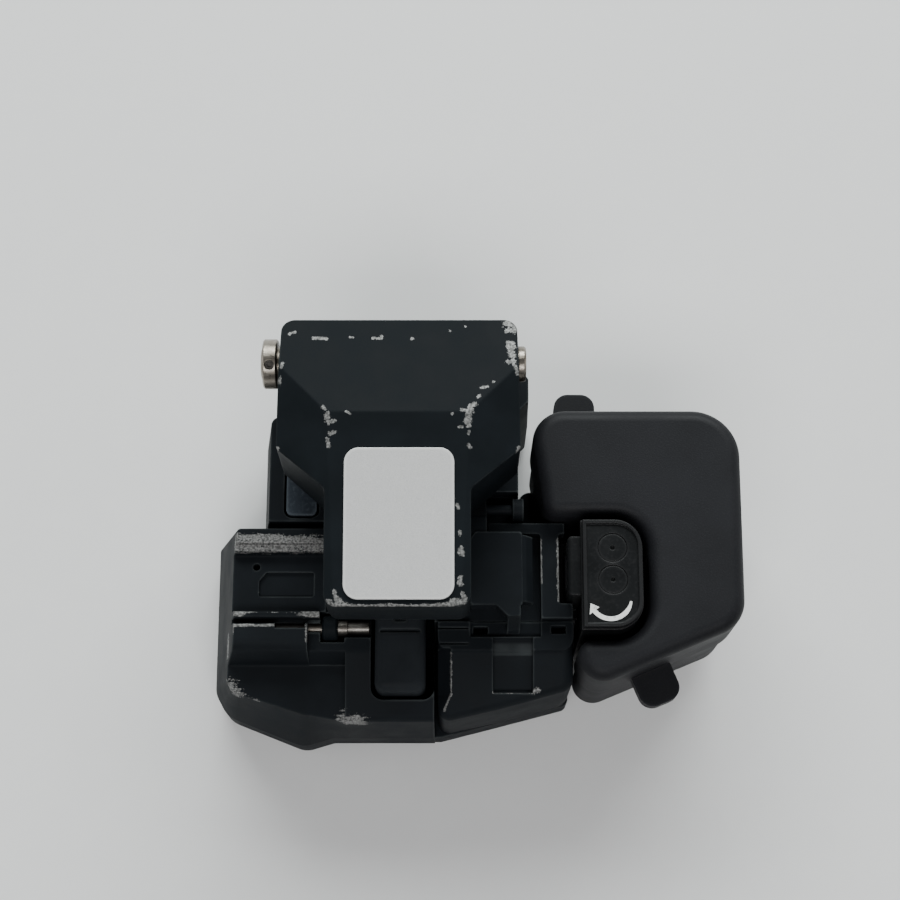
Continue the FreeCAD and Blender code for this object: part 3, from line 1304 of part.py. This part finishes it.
def collector_cover():
    cover = plate(collector_plan(0), SPLIT_Z, COVER_TOP_Z)
    cover = soften(cover, COVER_EDGE_R, lambda e: e.BoundBox.ZMin > COVER_TOP_Z - 0.01)
    front_slope = math.atan2(COLLECTOR_RIGHT_Y - COLLECTOR_FRONT_Y, COLLECTOR_RIGHT_X - COLLECTOR_FRONT_X)
    share = TAB_FRONT_SHARE
    front_x = COLLECTOR_FRONT_X + share * (COLLECTOR_RIGHT_X - COLLECTOR_FRONT_X)
    front_y = COLLECTOR_FRONT_Y + share * (COLLECTOR_RIGHT_Y - COLLECTOR_FRONT_Y)
    rear_tab = finger_tab(TAB_REAR_X, COLLECTOR_REAR_Y, 0)
    front_tab = finger_tab(front_x, front_y, 180 + math.degrees(front_slope))
    cover = together(cover, rear_tab, front_tab)
    inside = plate(collector_plan(COLLECTOR_WALL), SPLIT_Z - 1, COVER_TOP_Z - COLLECTOR_WALL)
    window = block(HOUSING_RIGHT_X, HOUSING_RIGHT_X + COLLECTOR_GAP + COLLECTOR_WALL + 1, FIBRE_Y - 2.0,
                   FIBRE_Y + 2.0, SPLIT_Z - 1, FIBRE_Z + 2.0)
    return cover.cut([inside, window])


def collector_bracket():
    """Shelf under roller housing and tray; its left edge bears on the casting's right side."""
    deck_x = HOUSING_LEFT_X - 0.4
    flank_x = REAR_RIGHT_X + 0.9
    shelf = plate([
        (deck_x, HOUSING_FRONT_Y + 5.9),
        (HOUSING_STEP_X, HOUSING_FRONT_Y + 3.4),
        (HOUSING_STEP_X + 3, HOUSING_FRONT_Y - 3.0, 2.0),
        (HOUSING_RIGHT_X + 8, HOUSING_FRONT_Y - 2.0, 5.0),
        (HOUSING_RIGHT_X + 10, BRACKET_REAR_Y - 2, 5.0),
        (flank_x, BRACKET_REAR_Y, 2.0),
        (flank_x, HOUSING_REAR_Y + 0.8),
        (deck_x, HOUSING_REAR_Y + 0.8),
    ], TRAY_Z - BRACKET_T, TRAY_Z)
    post = plate(housing_plan(1.5), TRAY_Z, HOUSING_BOTTOM_Z)
    return together(shelf, post)


# ---------------------------------------------------------------- parts list

PARTS = {
    "base_body": base_body,
    "bottom_plate": bottom_plate,
    "bottom_plate_screws": plate_screws,
    "sole_mat": sole_mat,
    "rest_pad": lambda: rest_shape(0, DECK_Z - REST_DEPTH, DECK_Z + 0.2),
    "slide_rail": slide_rail,
    "rail_screws": rail_screws,
    "slider_carriage": slider_carriage,
    "slider_cap": slider_cap,
    "slider_spring": slider_spring,
    "blade_axle": blade_axle,
    "blade_disc": blade_disc,
    "blade_hub": blade_hub,
    "blade_nut": blade_nut,
    "lock_bolt": lock_bolt,
    "bolt_knob": bolt_knob,
    "lower_jaw_left": lambda: jaw(-1),
    "lower_jaw_right": lambda: jaw(1),
    "jaw_screws": jaw_screws,
    "lower_pad_left": lambda: pad(-1, FIBRE_Z - PAD_T),
    "lower_pad_right": lambda: pad(1, FIBRE_Z - PAD_T),
    "clamp_arm": clamp_arm,
    "upper_pad_left": lambda: pad(-1, UPPER_PAD_Z),
    "upper_pad_right": lambda: pad(1, UPPER_PAD_Z),
    "clamp_pivot": clamp_pivot,
    "anvil": anvil,
    "lever_shell": lever_shell,
    "name_plate": name_plate,
    "hinge_shaft": hinge_shaft,
    "shaft_collar": shaft_collar,
    "collar_grub_screw": collar_grub_screw,
    "hinge_bushes": hinge_bushes,
    "lever_spring": lever_spring,
    "guide_frame": guide_frame,
    "guide_flap": guide_flap,
    "flap_pin": flap_pin,
    "grip_cover": grip_cover,
    "roller_housing": roller_housing,
    "roller_cover": roller_cover,
    "drive_roller_shaft": lambda: roller_shaft(DRIVE_Y),
    "drive_roller_sleeve": lambda: roller_sleeve(DRIVE_Y),
    "idler_roller_shaft": lambda: roller_shaft(IDLER_Y),
    "idler_roller_sleeve": lambda: roller_sleeve(IDLER_Y),
    "collector_bracket": collector_bracket,
    "collector_tray": collector_tray,
    "collector_cover": collector_cover,
}

os.makedirs("parts", exist_ok=True)
for name, make in PARTS.items():
    shape = make()
    shape.exportStep("parts/" + name + ".step")
    print(name, len(shape.Solids), shape.isValid(), round(shape.Volume, 1))
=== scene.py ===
import math
import bpy
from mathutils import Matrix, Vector


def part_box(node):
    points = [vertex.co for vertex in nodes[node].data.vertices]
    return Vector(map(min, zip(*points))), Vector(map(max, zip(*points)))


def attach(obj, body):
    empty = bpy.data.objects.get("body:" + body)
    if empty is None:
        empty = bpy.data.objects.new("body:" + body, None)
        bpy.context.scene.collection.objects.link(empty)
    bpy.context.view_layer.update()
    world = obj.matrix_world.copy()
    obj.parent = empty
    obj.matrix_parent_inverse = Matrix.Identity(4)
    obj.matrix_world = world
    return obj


# Looks, light and camera of the fibre cleaver. Metres, in the frame of the CAD:
# X to the right, Y to the rear, Z up. Worn places are given in millimetres.

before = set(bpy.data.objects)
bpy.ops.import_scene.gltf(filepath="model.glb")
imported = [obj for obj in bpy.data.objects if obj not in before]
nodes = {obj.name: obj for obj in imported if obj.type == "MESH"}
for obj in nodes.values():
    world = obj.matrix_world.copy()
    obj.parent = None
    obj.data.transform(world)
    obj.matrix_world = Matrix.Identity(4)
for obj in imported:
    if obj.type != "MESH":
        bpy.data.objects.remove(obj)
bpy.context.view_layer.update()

MM = 0.001

PAINT_SPECULAR = 0.06         # the paint reflects little
PLASTIC_SPECULAR = 0.15
BLACK = (0.0054, 0.0072, 0.0088)
BODY_BLACK = (0.0072, 0.0088, 0.0106)
SLIDER_BLACK = (0.014, 0.0162, 0.0188)
RUBBED = (0.042, 0.048, 0.05)             # black paint along its edges
BARE_DARK = (0.09, 0.09, 0.088)           # bare metal of the worn places
BARE_LIGHT = (0.25, 0.25, 0.245)


# ---------------------------------------------------------------- shader helpers


class Shader:
    """Node tree of one material, with short helpers for procedural looks."""

    def __init__(self, name):
        self.material = bpy.data.materials.new(name)
        self.material.use_nodes = True
        self.tree = self.material.node_tree
        self.surface = self.tree.nodes["Principled BSDF"]
        self.place = self.node("ShaderNodeTexCoord").outputs["Object"]

    def node(self, kind, **settings):
        made = self.tree.nodes.new(kind)
        for key, value in settings.items():
            setattr(made, key, value)
        return made

    def feed(self, socket, value):
        """Connect a socket to another node's output, or set it to a number or colour."""
        if isinstance(value, bpy.types.NodeSocket):
            self.tree.links.new(value, socket)
        elif isinstance(value, tuple) and len(value) == 3 and len(socket.default_value) == 4:
            socket.default_value = value + (1.0,)
        else:
            socket.default_value = value

    def math(self, operation, a, b=0.0, clamp=False):
        made = self.node("ShaderNodeMath", operation=operation, use_clamp=clamp)
        self.feed(made.inputs[0], a)
        self.feed(made.inputs[1], b)
        return made.outputs[0]

    def vector(self, operation, a, b, answer="Vector"):
        made = self.node("ShaderNodeVectorMath", operation=operation)
        self.feed(made.inputs[0], a)
        if operation == "SCALE":
            self.feed(made.inputs["Scale"], b)
        else:
            self.feed(made.inputs[1], b)
        return made.outputs[answer]

    def span(self, value, low, high, start=0.0, end=1.0):
        """Map low..high to start..end, smoothly and clamped."""
        made = self.node("ShaderNodeMapRange", interpolation_type="SMOOTHSTEP")
        self.feed(made.inputs["Value"], value)
        self.feed(made.inputs["From Min"], low)
        self.feed(made.inputs["From Max"], high)
        self.feed(made.inputs["To Min"], start)
        self.feed(made.inputs["To Max"], end)
        return made.outputs["Result"]

    def mix(self, share, a, b):
        made = self.node("ShaderNodeMix", data_type="RGBA")
        self.feed(made.inputs["Factor"], share)
        self.feed(made.inputs["A"], a)
        self.feed(made.inputs["B"], b)
        return made.outputs["Result"]

    def noise(self, size, detail=4.0, rough=0.55, stretch=(1.0, 1.0, 1.0)):
        """Noise whose blobs are about size millimetres, longer along the stretched axes."""
        scaled = self.vector("DIVIDE", self.place, tuple(size * MM * s for s in stretch))
        made = self.node("ShaderNodeTexNoise")
        self.feed(made.inputs["Vector"], scaled)
        self.feed(made.inputs["Scale"], 1.0)
        self.feed(made.inputs["Detail"], detail)
        self.feed(made.inputs["Roughness"], rough)
        return made.outputs["Fac"]

    def edges(self, reach):
        """1 on outer edges, 0 away from them; reach in millimetres."""
        made = self.node("ShaderNodeAmbientOcclusion", inside=True, only_local=True, samples=8)
        self.feed(made.inputs["Distance"], reach * MM)
        return self.math("SUBTRACT", 1.0, made.outputs["AO"], clamp=True)

    def rounded(self, radius):
        """Normal that rolls over sharp edges; radius in millimetres."""
        made = self.node("ShaderNodeBevel", samples=6)
        self.feed(made.inputs["Radius"], radius * MM)
        return made.outputs["Normal"]

    def bump(self, height, depth, normal):
        """Relief of depth millimetres on top of another normal."""
        made = self.node("ShaderNodeBump")
        self.feed(made.inputs["Height"], height)
        self.feed(made.inputs["Distance"], depth * MM)
        self.feed(made.inputs["Normal"], normal)
        return made.outputs["Normal"]

    def near(self, start, end, radius):
        """Closeness to the line from start to end: 1 on it, 0 at twice the radius."""
        a = Vector(start) * MM
        along = (Vector(end) - Vector(start)) * MM
        offset = self.vector("SUBTRACT", self.place, tuple(a))
        if along.length > 0:
            share = self.vector("DOT_PRODUCT", offset, tuple(along / along.length_squared), "Value")
            share = self.math("MAXIMUM", self.math("MINIMUM", share, 1.0), 0.0)
            foot = self.vector("SCALE", tuple(along), share)
            offset = self.vector("SUBTRACT", offset, foot)
        distance = self.vector("LENGTH", offset, (0.0, 0.0, 0.0), "Value")
        return self.math("SUBTRACT", 1.0, self.math("DIVIDE", distance, 2 * radius * MM), clamp=True)

    def places(self, spots, ragged, streak):
        """Worn places with broken borders: each spot is (start, end, radius) in millimetres."""
        close = 0.0
        for start, end, radius in spots:
            close = self.math("MAXIMUM", close, self.near(start, end, radius))
        fine = self.math("MULTIPLY", self.noise(0.3, 3.0, 0.7), 0.6)
        flakes = self.math("ADD", self.noise(0.8, 5.0, 0.7, streak), fine)
        drift = self.math("MULTIPLY", self.math("SUBTRACT", flakes, 0.8), ragged)
        there = self.math("GREATER_THAN", close, 0.02)
        return self.math("MULTIPLY", self.span(self.math("ADD", close, drift), 0.43, 0.5), there)

    def put_on(self, *names):
        """Give this material to the named CAD nodes."""
        for name in names:
            for held in nodes[name].material_slots:
                held.material = self.material


def painted_black(name, base, spots=(), edge_chips=0.3, streak=(1.0, 1.0, 1.0), round_by=0.35):
    """Satin black paint with lighter rubbed edges, bare metal chips and fine orange peel."""
    paint = Shader(name)
    cloud = paint.noise(9.0, 3.0)
    speck = paint.noise(0.35, 2.0)
    rim = paint.edges(0.5)
    tint = paint.mix(paint.span(cloud, 0.35, 0.7), base, tuple(c * 1.3 for c in base))
    uneven = paint.span(cloud, 0.35, 0.62, 0.3, 1.0)
    rubbed = paint.math("MULTIPLY", paint.span(rim, 0.16, 0.5), uneven)
    tint = paint.mix(rubbed, tint, RUBBED)
    chips = paint.span(paint.noise(1.1, 5.0, 0.72), 0.7 - 0.1 * edge_chips, 0.75)
    chipped = paint.math("MULTIPLY", paint.span(rim, 0.3, 0.6), chips)
    bare = paint.math("MAXIMUM", chipped, paint.places(spots, 2.1, streak)) if spots else chipped
    bare_tint = paint.mix(paint.span(speck, 0.35, 0.65), BARE_DARK, BARE_LIGHT)
    paint.feed(paint.surface.inputs["Base Color"], paint.mix(bare, tint, bare_tint))
    paint.feed(paint.surface.inputs["Metallic"], paint.math("MULTIPLY", bare, 0.5))
    paint.surface.inputs["Specular IOR Level"].default_value = PAINT_SPECULAR
    rough = paint.span(cloud, 0.3, 0.75, 0.5, 0.62)
    rough = paint.math("ADD", rough, paint.math("MULTIPLY", speck, 0.08))
    paint.feed(paint.surface.inputs["Roughness"], rough)
    relief = paint.math("SUBTRACT", speck, paint.math("MULTIPLY", bare, 2.0))
    paint.feed(paint.surface.inputs["Normal"], paint.bump(relief, 0.01, paint.rounded(round_by)))
    return paint


def bare_metal(name, light, dark, rough, stretch=(1.0, 1.0, 1.0), round_by=0.15):
    """Turned or milled metal with fine tool marks and slight stains."""
    metal = Shader(name)
    marks = metal.noise(0.12, 3.0, 0.6, stretch)
    stain = metal.noise(3.5, 4.0)
    tint = metal.mix(metal.span(stain, 0.35, 0.7), light, dark)
    tint = metal.mix(metal.span(marks, 0.3, 0.8, 0.0, 0.35), tint, dark)
    metal.feed(metal.surface.inputs["Base Color"], tint)
    metal.surface.inputs["Metallic"].default_value = 1.0
    metal.feed(metal.surface.inputs["Roughness"], metal.span(marks, 0.2, 0.8, rough - 0.08, rough + 0.12))
    metal.feed(metal.surface.inputs["Normal"], metal.bump(marks, 0.01, metal.rounded(round_by)))
    return metal


def moulded(name, base, lighter, rough, grain_size, grain_depth, edge_light=0.6):
    """Moulded plastic or rubber with a fine grain and lighter rubbed edges."""
    plastic = Shader(name)
    cloud = plastic.noise(12.0, 4.0)
    grain = plastic.noise(grain_size, 3.0, 0.6)
    rim = plastic.math("MULTIPLY", plastic.span(plastic.edges(0.8), 0.12, 0.6), edge_light)
    tint = plastic.mix(plastic.span(cloud, 0.3, 0.75), base, tuple(c * 1.25 for c in base))
    tint = plastic.mix(plastic.span(grain, 0.45, 0.8, 0.0, 0.4), tint, lighter)
    plastic.feed(plastic.surface.inputs["Base Color"], plastic.mix(rim, tint, lighter))
    plastic.surface.inputs["Specular IOR Level"].default_value = PLASTIC_SPECULAR
    roughness = plastic.span(cloud, 0.3, 0.75, rough - 0.05, rough + 0.08)
    plastic.feed(plastic.surface.inputs["Roughness"], roughness)
    normal = plastic.bump(grain, grain_depth, plastic.rounded(0.35))
    plastic.feed(plastic.surface.inputs["Normal"], normal)
    return plastic


# ---------------------------------------------------------------- worn places, in millimetres


MID_X = 0.7                   # middle of the lever
CREST_Y = 14.8                # highest line of the lever, where the plateau meets the rear facet
CREST_Z = 53.0
NOSE_Y = -15.9
NOSE_HALF = 9.9               # half width of the plateau at the nose
PLATEAU_WIDENS = 0.0456
PLATEAU_SLOPE = 0.092
REAR_SLOPE = 0.30
SIDE_SLOPE = 0.44


def lever_top(x, y):
    """Height of the lever's faceted top: plateau, rear facet, side facets."""
    plateau = CREST_Z - PLATEAU_SLOPE * (CREST_Y - y)
    rear_facet = CREST_Z - REAR_SLOPE * (y - CREST_Y)
    plateau_half = NOSE_HALF + PLATEAU_WIDENS * (y - NOSE_Y)
    side_facet = plateau - SIDE_SLOPE * (abs(x - MID_X) - plateau_half)
    return min(plateau, rear_facet, side_facet)


def grip_slope(x, y):
    """Height of the grip cover, which falls towards the front."""
    return 27.7 + 0.3 * (y + 18.8)


def on(height, *lines):
    """Worn spots on a surface: each line is (x0, y0, x1, y1, radius)."""
    spots = []
    for x0, y0, x1, y1, radius in lines:
        spots.append(((x0, y0, height(x0, y0)), (x1, y1, height(x1, y1)), radius))
    return spots


def level(z):
    """A flat surface at one height, for on()."""
    return lambda x, y: z


LEVER_WORN = on(
    lever_top,
    # rear right corner and right edge
    (18.5, 31.1, 19.4, 31.1, 0.8), (18.4, 30.0, 19.6, 29.8, 0.5), (18.4, 27.5, 18.9, 27.4, 0.45),
    (18.6, 26.7, 18.9, 25.2, 0.55), (18.1, 24.0, 18.4, 23.8, 0.35), (19.0, 24.3, 19.7, 22.0, 0.32),
    # rear facet
    (-17.0, 29.2, -16.2, 29.6, 0.24), (-13.2, 28.4, -11.1, 28.4, 0.28), (-7.2, 28.6, -6.8, 28.6, 0.2),
    (-3.5, 28.4, -2.3, 28.4, 0.25), (-2.2, 28.9, -2.1, 28.7, 0.18), (8.9, 29.8, 9.0, 29.8, 0.2),
    (11.4, 30.6, 11.5, 30.6, 0.2), (2.8, 28.4, 2.8, 28.2, 0.2),
    # crest, right end
    (14.0, 19.1, 15.0, 19.4, 0.24), (13.4, 17.4, 13.7, 17.6, 0.24), (15.8, 20.2, 15.9, 20.2, 0.2),
    (10.8, 15.0, 11.4, 15.0, 0.32), (12.1, 15.8, 12.9, 16.1, 0.36), (12.1, 15.4, 11.9, 13.4, 0.52),
    (11.5, 13.4, 11.9, 12.5, 0.34), (9.2, 14.5, 9.3, 14.5, 0.2), (10.5, 12.3, 10.8, 12.3, 0.24),
    (11.9, 11.6, 11.9, 11.2, 0.25), (11.9, 9.4, 12.1, 9.0, 0.28), (19.9, 9.8, 19.9, 8.8, 0.42),
    # crest, left end
    (-11.1, 15.6, -10.8, 15.2, 0.32), (-10.6, 14.2, -10.3, 13.2, 0.44), (-10.3, 13.2, -9.3, 13.2, 0.3),
    (-10.0, 11.2, -9.3, 11.5, 0.3), (-10.4, 10.5, -10.2, 9.2, 0.25), (-7.5, 14.8, -6.8, 14.4, 0.17),
    (-18.0, 23.7, -18.1, 22.9, 0.22), (-18.3, 21.2, -18.3, 20.4, 0.25), (-18.5, 9.8, -18.5, 9.5, 0.25),
    # right rim of the plateau
    (10.0, 0.0, 10.3, -0.6, 0.22), (10.5, -4.3, 10.5, -4.7, 0.22), (10.6, -6.9, 10.8, -7.7, 0.38),
    (10.5, -11.5, 10.5, -12.4, 0.36), (10.9, -13.9, 11.3, -14.6, 0.3),
    # nose
    (-9.0, -13.6, -9.0, -14.3, 0.3), (-8.7, -14.6, -8.2, -15.4, 0.42), (-10.0, -15.2, -9.2, -15.7, 0.45),
    (-9.2, -15.8, -7.2, -15.8, 0.42), (-7.2, -15.8, -4.2, -15.85, 0.24),
    (-3.8, -15.85, -1.6, -15.85, 0.22), (-1.4, -15.85, 0.8, -15.85, 0.28),
    (1.2, -15.85, 4.3, -15.85, 0.22), (4.3, -15.85, 7.4, -15.8, 0.3),
    (7.4, -15.7, 9.4, -15.6, 0.34), (9.4, -15.4, 11.2, -14.9, 0.5))

BASE_WORN = (
    on(level(30.4), (-27.2, -0.2, -12.0, -0.7, 0.6), (-27.2, -1.6, -12.0, -1.9, 1.2))
    + on(level(30.4), (-27.4, -12.9, -25.6, -12.9, 0.6), (-25.0, -12.8, -15.5, -12.8, 0.22),
         (-15.0, -12.9, -12.2, -12.9, 0.8))
    + on(level(30.0), (-26.8, -15.0, -15.0, -15.0, 0.2), (-14.7, -15.0, -14.7, -18.0, 0.2),
         (-26.9, -15.2, -26.9, -16.6, 0.2))
    + on(level(23.8), (-28.7, -16.2, -28.3, -18.8, 0.9), (-27.9, -24.6, -26.9, -26.0, 1.3))
    + on(level(23.0), (-24.6, -25.7, -23.0, -26.3, 0.3), (-20.3, -28.0, -19.2, -28.6, 0.3),
         (-16.0, -29.3, -14.9, -29.7, 0.3), (-7.9, -29.6, -6.4, -30.4, 1.5)))

GRIP_WORN = (
    on(grip_slope, (9.1, -19.2, 9.1, -25.6, 0.16), (9.1, -25.6, 7.3, -29.6, 0.2),
       (16.1, -25.4, 22.6, -25.4, 0.2), (22.7, -25.3, 23.4, -25.1, 0.4)))

FRAME_WORN = on(level(30.3), (26.9, -0.6, 26.9, -11.0, 0.2), (24.1, -0.6, 24.1, -8.0, 0.14))

# ---------------------------------------------------------------- finishes

painted_black("lever_black", BLACK, LEVER_WORN, 0.4, round_by=0.6).put_on("lever_shell")
painted_black("body_black", BODY_BLACK, BASE_WORN, streak=(4.0, 1.0, 1.0)).put_on("base_body")
painted_black("grip_black", BODY_BLACK, GRIP_WORN).put_on("grip_cover")
painted_black("guide_black", BODY_BLACK, FRAME_WORN).put_on("guide_frame", "guide_flap", "flap_pin")
painted_black("slider_black", SLIDER_BLACK, edge_chips=0.1, round_by=0.8).put_on("slider_cap")
painted_black("bracket_black", BLACK, edge_chips=0.2).put_on("collector_bracket", "bolt_knob")

moulded("roller_black", (0.0055, 0.006, 0.0065), (0.022, 0.022, 0.023), 0.36, 0.5, 0.006).put_on(
    "roller_housing", "roller_cover", "drive_roller_shaft", "idler_roller_shaft")
moulded("collector_charcoal", (0.0085, 0.0088, 0.0105), (0.022, 0.022, 0.025), 0.55, 0.28, 0.03).put_on(
    "collector_tray", "collector_cover")
moulded("soft_rubber", (0.018, 0.018, 0.018), (0.05, 0.05, 0.05), 0.8, 0.2, 0.02, 0.3).put_on(
    "sole_mat", "lower_pad_left", "lower_pad_right", "upper_pad_left", "upper_pad_right",
    "drive_roller_sleeve", "idler_roller_sleeve")
moulded("rest_grey", (0.02, 0.026, 0.034), (0.075, 0.09, 0.105), 0.6, 0.6, 0.02, 0.8).put_on("rest_pad")

bare_metal("warm_steel", (0.36, 0.33, 0.29), (0.17, 0.15, 0.125), 0.32, (6.0, 1.0, 1.0)).put_on(
    "hinge_shaft", "shaft_collar")
bare_metal("bolt_steel", (0.2, 0.19, 0.175), (0.08, 0.07, 0.06), 0.4, (6.0, 1.0, 1.0)).put_on("lock_bolt")
bare_metal("dark_steel", (0.06, 0.055, 0.05), (0.02, 0.02, 0.02), 0.4).put_on("collar_grub_screw")
bare_metal("ground_steel", (0.55, 0.55, 0.55), (0.32, 0.32, 0.33), 0.28).put_on(
    "bottom_plate", "bottom_plate_screws", "slide_rail", "rail_screws", "slider_spring", "blade_axle",
    "lower_jaw_left", "lower_jaw_right", "jaw_screws", "clamp_pivot", "anvil", "lever_spring")
bare_metal("blade_carbide", (0.62, 0.62, 0.63), (0.42, 0.42, 0.43), 0.2).put_on("blade_disc")
bare_metal("milled_alloy", (0.5, 0.5, 0.51), (0.34, 0.34, 0.35), 0.38, (1.0, 5.0, 1.0)).put_on(
    "slider_carriage", "clamp_arm")
bare_metal("dull_brass", (0.36, 0.25, 0.13), (0.17, 0.11, 0.06), 0.36, (4.0, 1.0, 1.0)).put_on(
    "blade_hub", "blade_nut", "hinge_bushes")


def label_silver():
    """Blank silver-grey plate: fine sparkle and a lighter rim."""
    label = Shader("label_silver")
    sparkle = label.noise(0.16, 2.0, 0.7)
    cloud = label.noise(5.0, 3.0)
    tint = label.mix(label.span(sparkle, 0.35, 0.68), (0.3, 0.3, 0.31), (0.55, 0.55, 0.56))
    tint = label.mix(label.span(cloud, 0.3, 0.8, 0.0, 0.25), tint, (0.3, 0.3, 0.3))
    rim = label.span(label.edges(0.5), 0.12, 0.5)
    label.feed(label.surface.inputs["Base Color"], label.mix(rim, tint, (0.62, 0.62, 0.61)))
    label.surface.inputs["Metallic"].default_value = 0.2
    label.feed(label.surface.inputs["Roughness"], label.span(sparkle, 0.3, 0.7, 0.36, 0.52))
    label.feed(label.surface.inputs["Normal"], label.bump(sparkle, 0.012, label.rounded(0.25)))
    return label


label_silver().put_on("name_plate")

# ---------------------------------------------------------------- turning arrow on the roller cover

ARROW_X = 34.9                # middle of the arrow's arc, in millimetres
ARROW_Y = -12.0
ARROW_R = 3.35
ARROW_WIDTH = 0.75
ARROW_THICK = 0.05
ARROW_SUNK = 0.39             # the arrow's underside below the rim of the cover
ARROW_TAIL = math.radians(-8)
ARROW_HEAD = math.radians(-142)
HEAD_LENGTH = math.radians(24)
HEAD_HALF = 1.0
ARC_STEPS = 28


def on_arc(reach, angle):
    """Point at a distance and an angle from the middle of the arrow's arc, in metres."""
    return (ARROW_X * MM + reach * MM * math.cos(angle), ARROW_Y * MM + reach * MM * math.sin(angle))


def arrow_outline():
    """Outer arc from tail to head, the point, and the inner arc back; the tail is narrower."""
    outer = []
    inner = []
    for step in range(ARC_STEPS + 1):
        share = step / ARC_STEPS
        angle = ARROW_TAIL + (ARROW_HEAD - ARROW_TAIL) * share
        half = ARROW_WIDTH / 2 * min(1.0, 0.5 + 2 * share)
        outer.append(on_arc(ARROW_R + half, angle))
        inner.append(on_arc(ARROW_R - half, angle))
    point = [
        on_arc(ARROW_R + HEAD_HALF, ARROW_HEAD),
        on_arc(ARROW_R, ARROW_HEAD - HEAD_LENGTH),
        on_arc(ARROW_R - HEAD_HALF, ARROW_HEAD)]
    return outer + point + inner[::-1]


def arrow_white():
    """White ink with scuffs."""
    ink = Shader("arrow_white")
    scuff = ink.noise(0.5, 4.0, 0.7)
    tint = ink.mix(ink.span(scuff, 0.5, 0.75), (0.8, 0.8, 0.78), (0.2, 0.2, 0.2))
    ink.feed(ink.surface.inputs["Base Color"], tint)
    ink.feed(ink.surface.inputs["Roughness"], ink.span(scuff, 0.3, 0.7, 0.4, 0.6))
    ink.feed(ink.surface.inputs["Normal"], ink.bump(scuff, 0.01, ink.rounded(0.05)))
    return ink


def turning_arrow():
    """Plain curved arrow that shows which way the rollers turn."""
    rim_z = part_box("roller_cover")[1].z
    under = rim_z - ARROW_SUNK * MM
    points = arrow_outline()
    count = len(points)
    low = [(x, y, under) for x, y in points]
    high = [(x, y, under + ARROW_THICK * MM) for x, y in points]
    top = list(range(count, 2 * count))
    sides = []
    for i in range(count):
        after = (i + 1) % count
        sides.append((i, after, count + after, count + i))
    mesh = bpy.data.meshes.new("turning_arrow")
    mesh.from_pydata(low + high, [], [top] + sides)
    arrow = bpy.data.objects.new("turning_arrow", mesh)
    bpy.context.scene.collection.objects.link(arrow)
    mesh.materials.append(arrow_white().material)
    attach(arrow, "base")


turning_arrow()

# ---------------------------------------------------------------- floor, light and camera


FLOOR_HALF = 3.0
LIGHT_AIM = Vector((0, 0, 0.03))      # a little above the middle of the body
CAMERA_PLACE = (0.00893, -0.07585, 0.34695)
CAMERA_TILT = math.radians(74)        # the photo looks down at this angle
LENS = 78.0                           # focal length on a 36 mm wide sensor


def floor():
    """Plain pale floor under the cleaver."""
    mesh = bpy.data.meshes.new("floor")
    corners = []
    for x, y in ((-1, -1), (1, -1), (1, 1), (-1, 1)):
        corners.append((x * FLOOR_HALF, y * FLOOR_HALF, 0))
    mesh.from_pydata(corners, [], [(0, 1, 2, 3)])
    ground = bpy.data.objects.new("floor", mesh)
    bpy.context.scene.collection.objects.link(ground)
    look = Shader("floor_pale")
    grain = look.noise(6.0, 3.0)
    look.feed(look.surface.inputs["Base Color"], look.mix(grain, (0.72, 0.72, 0.72), (0.76, 0.76, 0.755)))
    look.feed(look.surface.inputs["Roughness"], look.span(grain, 0.3, 0.7, 0.7, 0.8))
    mesh.materials.append(look.material)


def soft_light(name, place, size, power, colour=(1.0, 1.0, 1.0)):
    """Rectangular studio light that looks at the cleaver; size in metres, power in watts."""
    lamp = bpy.data.lights.new(name, "AREA")
    lamp.shape = "RECTANGLE"
    lamp.size, lamp.size_y = size
    lamp.energy = power
    lamp.color = colour
    holder = bpy.data.objects.new(name, lamp)
    holder.location = place
    holder.rotation_euler = (LIGHT_AIM - Vector(place)).to_track_quat("-Z", "Y").to_euler()
    bpy.context.scene.collection.objects.link(holder)


floor()
soft_light("rear_softbox", (0.05, 0.9, 0.75), (1.4, 0.5), 25.0, (0.95, 1.0, 0.99))
soft_light("left_softbox", (-1.0, 0.1, 0.28), (0.3, 0.9), 1.5)
soft_light("right_softbox", (1.0, 0.1, 0.28), (0.3, 0.9), 1.5)
soft_light("front_softbox", (0.0, -0.7, 1.0), (0.9, 0.4), 9.0)

world = bpy.data.worlds.new("studio")
world.use_nodes = True
world.node_tree.nodes["Background"].inputs["Color"].default_value = (0.9, 0.92, 0.95, 1.0)
world.node_tree.nodes["Background"].inputs["Strength"].default_value = 0.16
bpy.context.scene.world = world

lens = bpy.data.cameras.new("camera")
lens.lens = LENS
lens.sensor_width = 36.0
lens.clip_start = 0.01
camera = bpy.data.objects.new("camera", lens)
camera.location = CAMERA_PLACE
camera.rotation_euler = (math.pi / 2 - CAMERA_TILT, 0, 0)
bpy.context.scene.collection.objects.link(camera)
bpy.context.scene.camera = camera

bpy.context.view_layer.update()
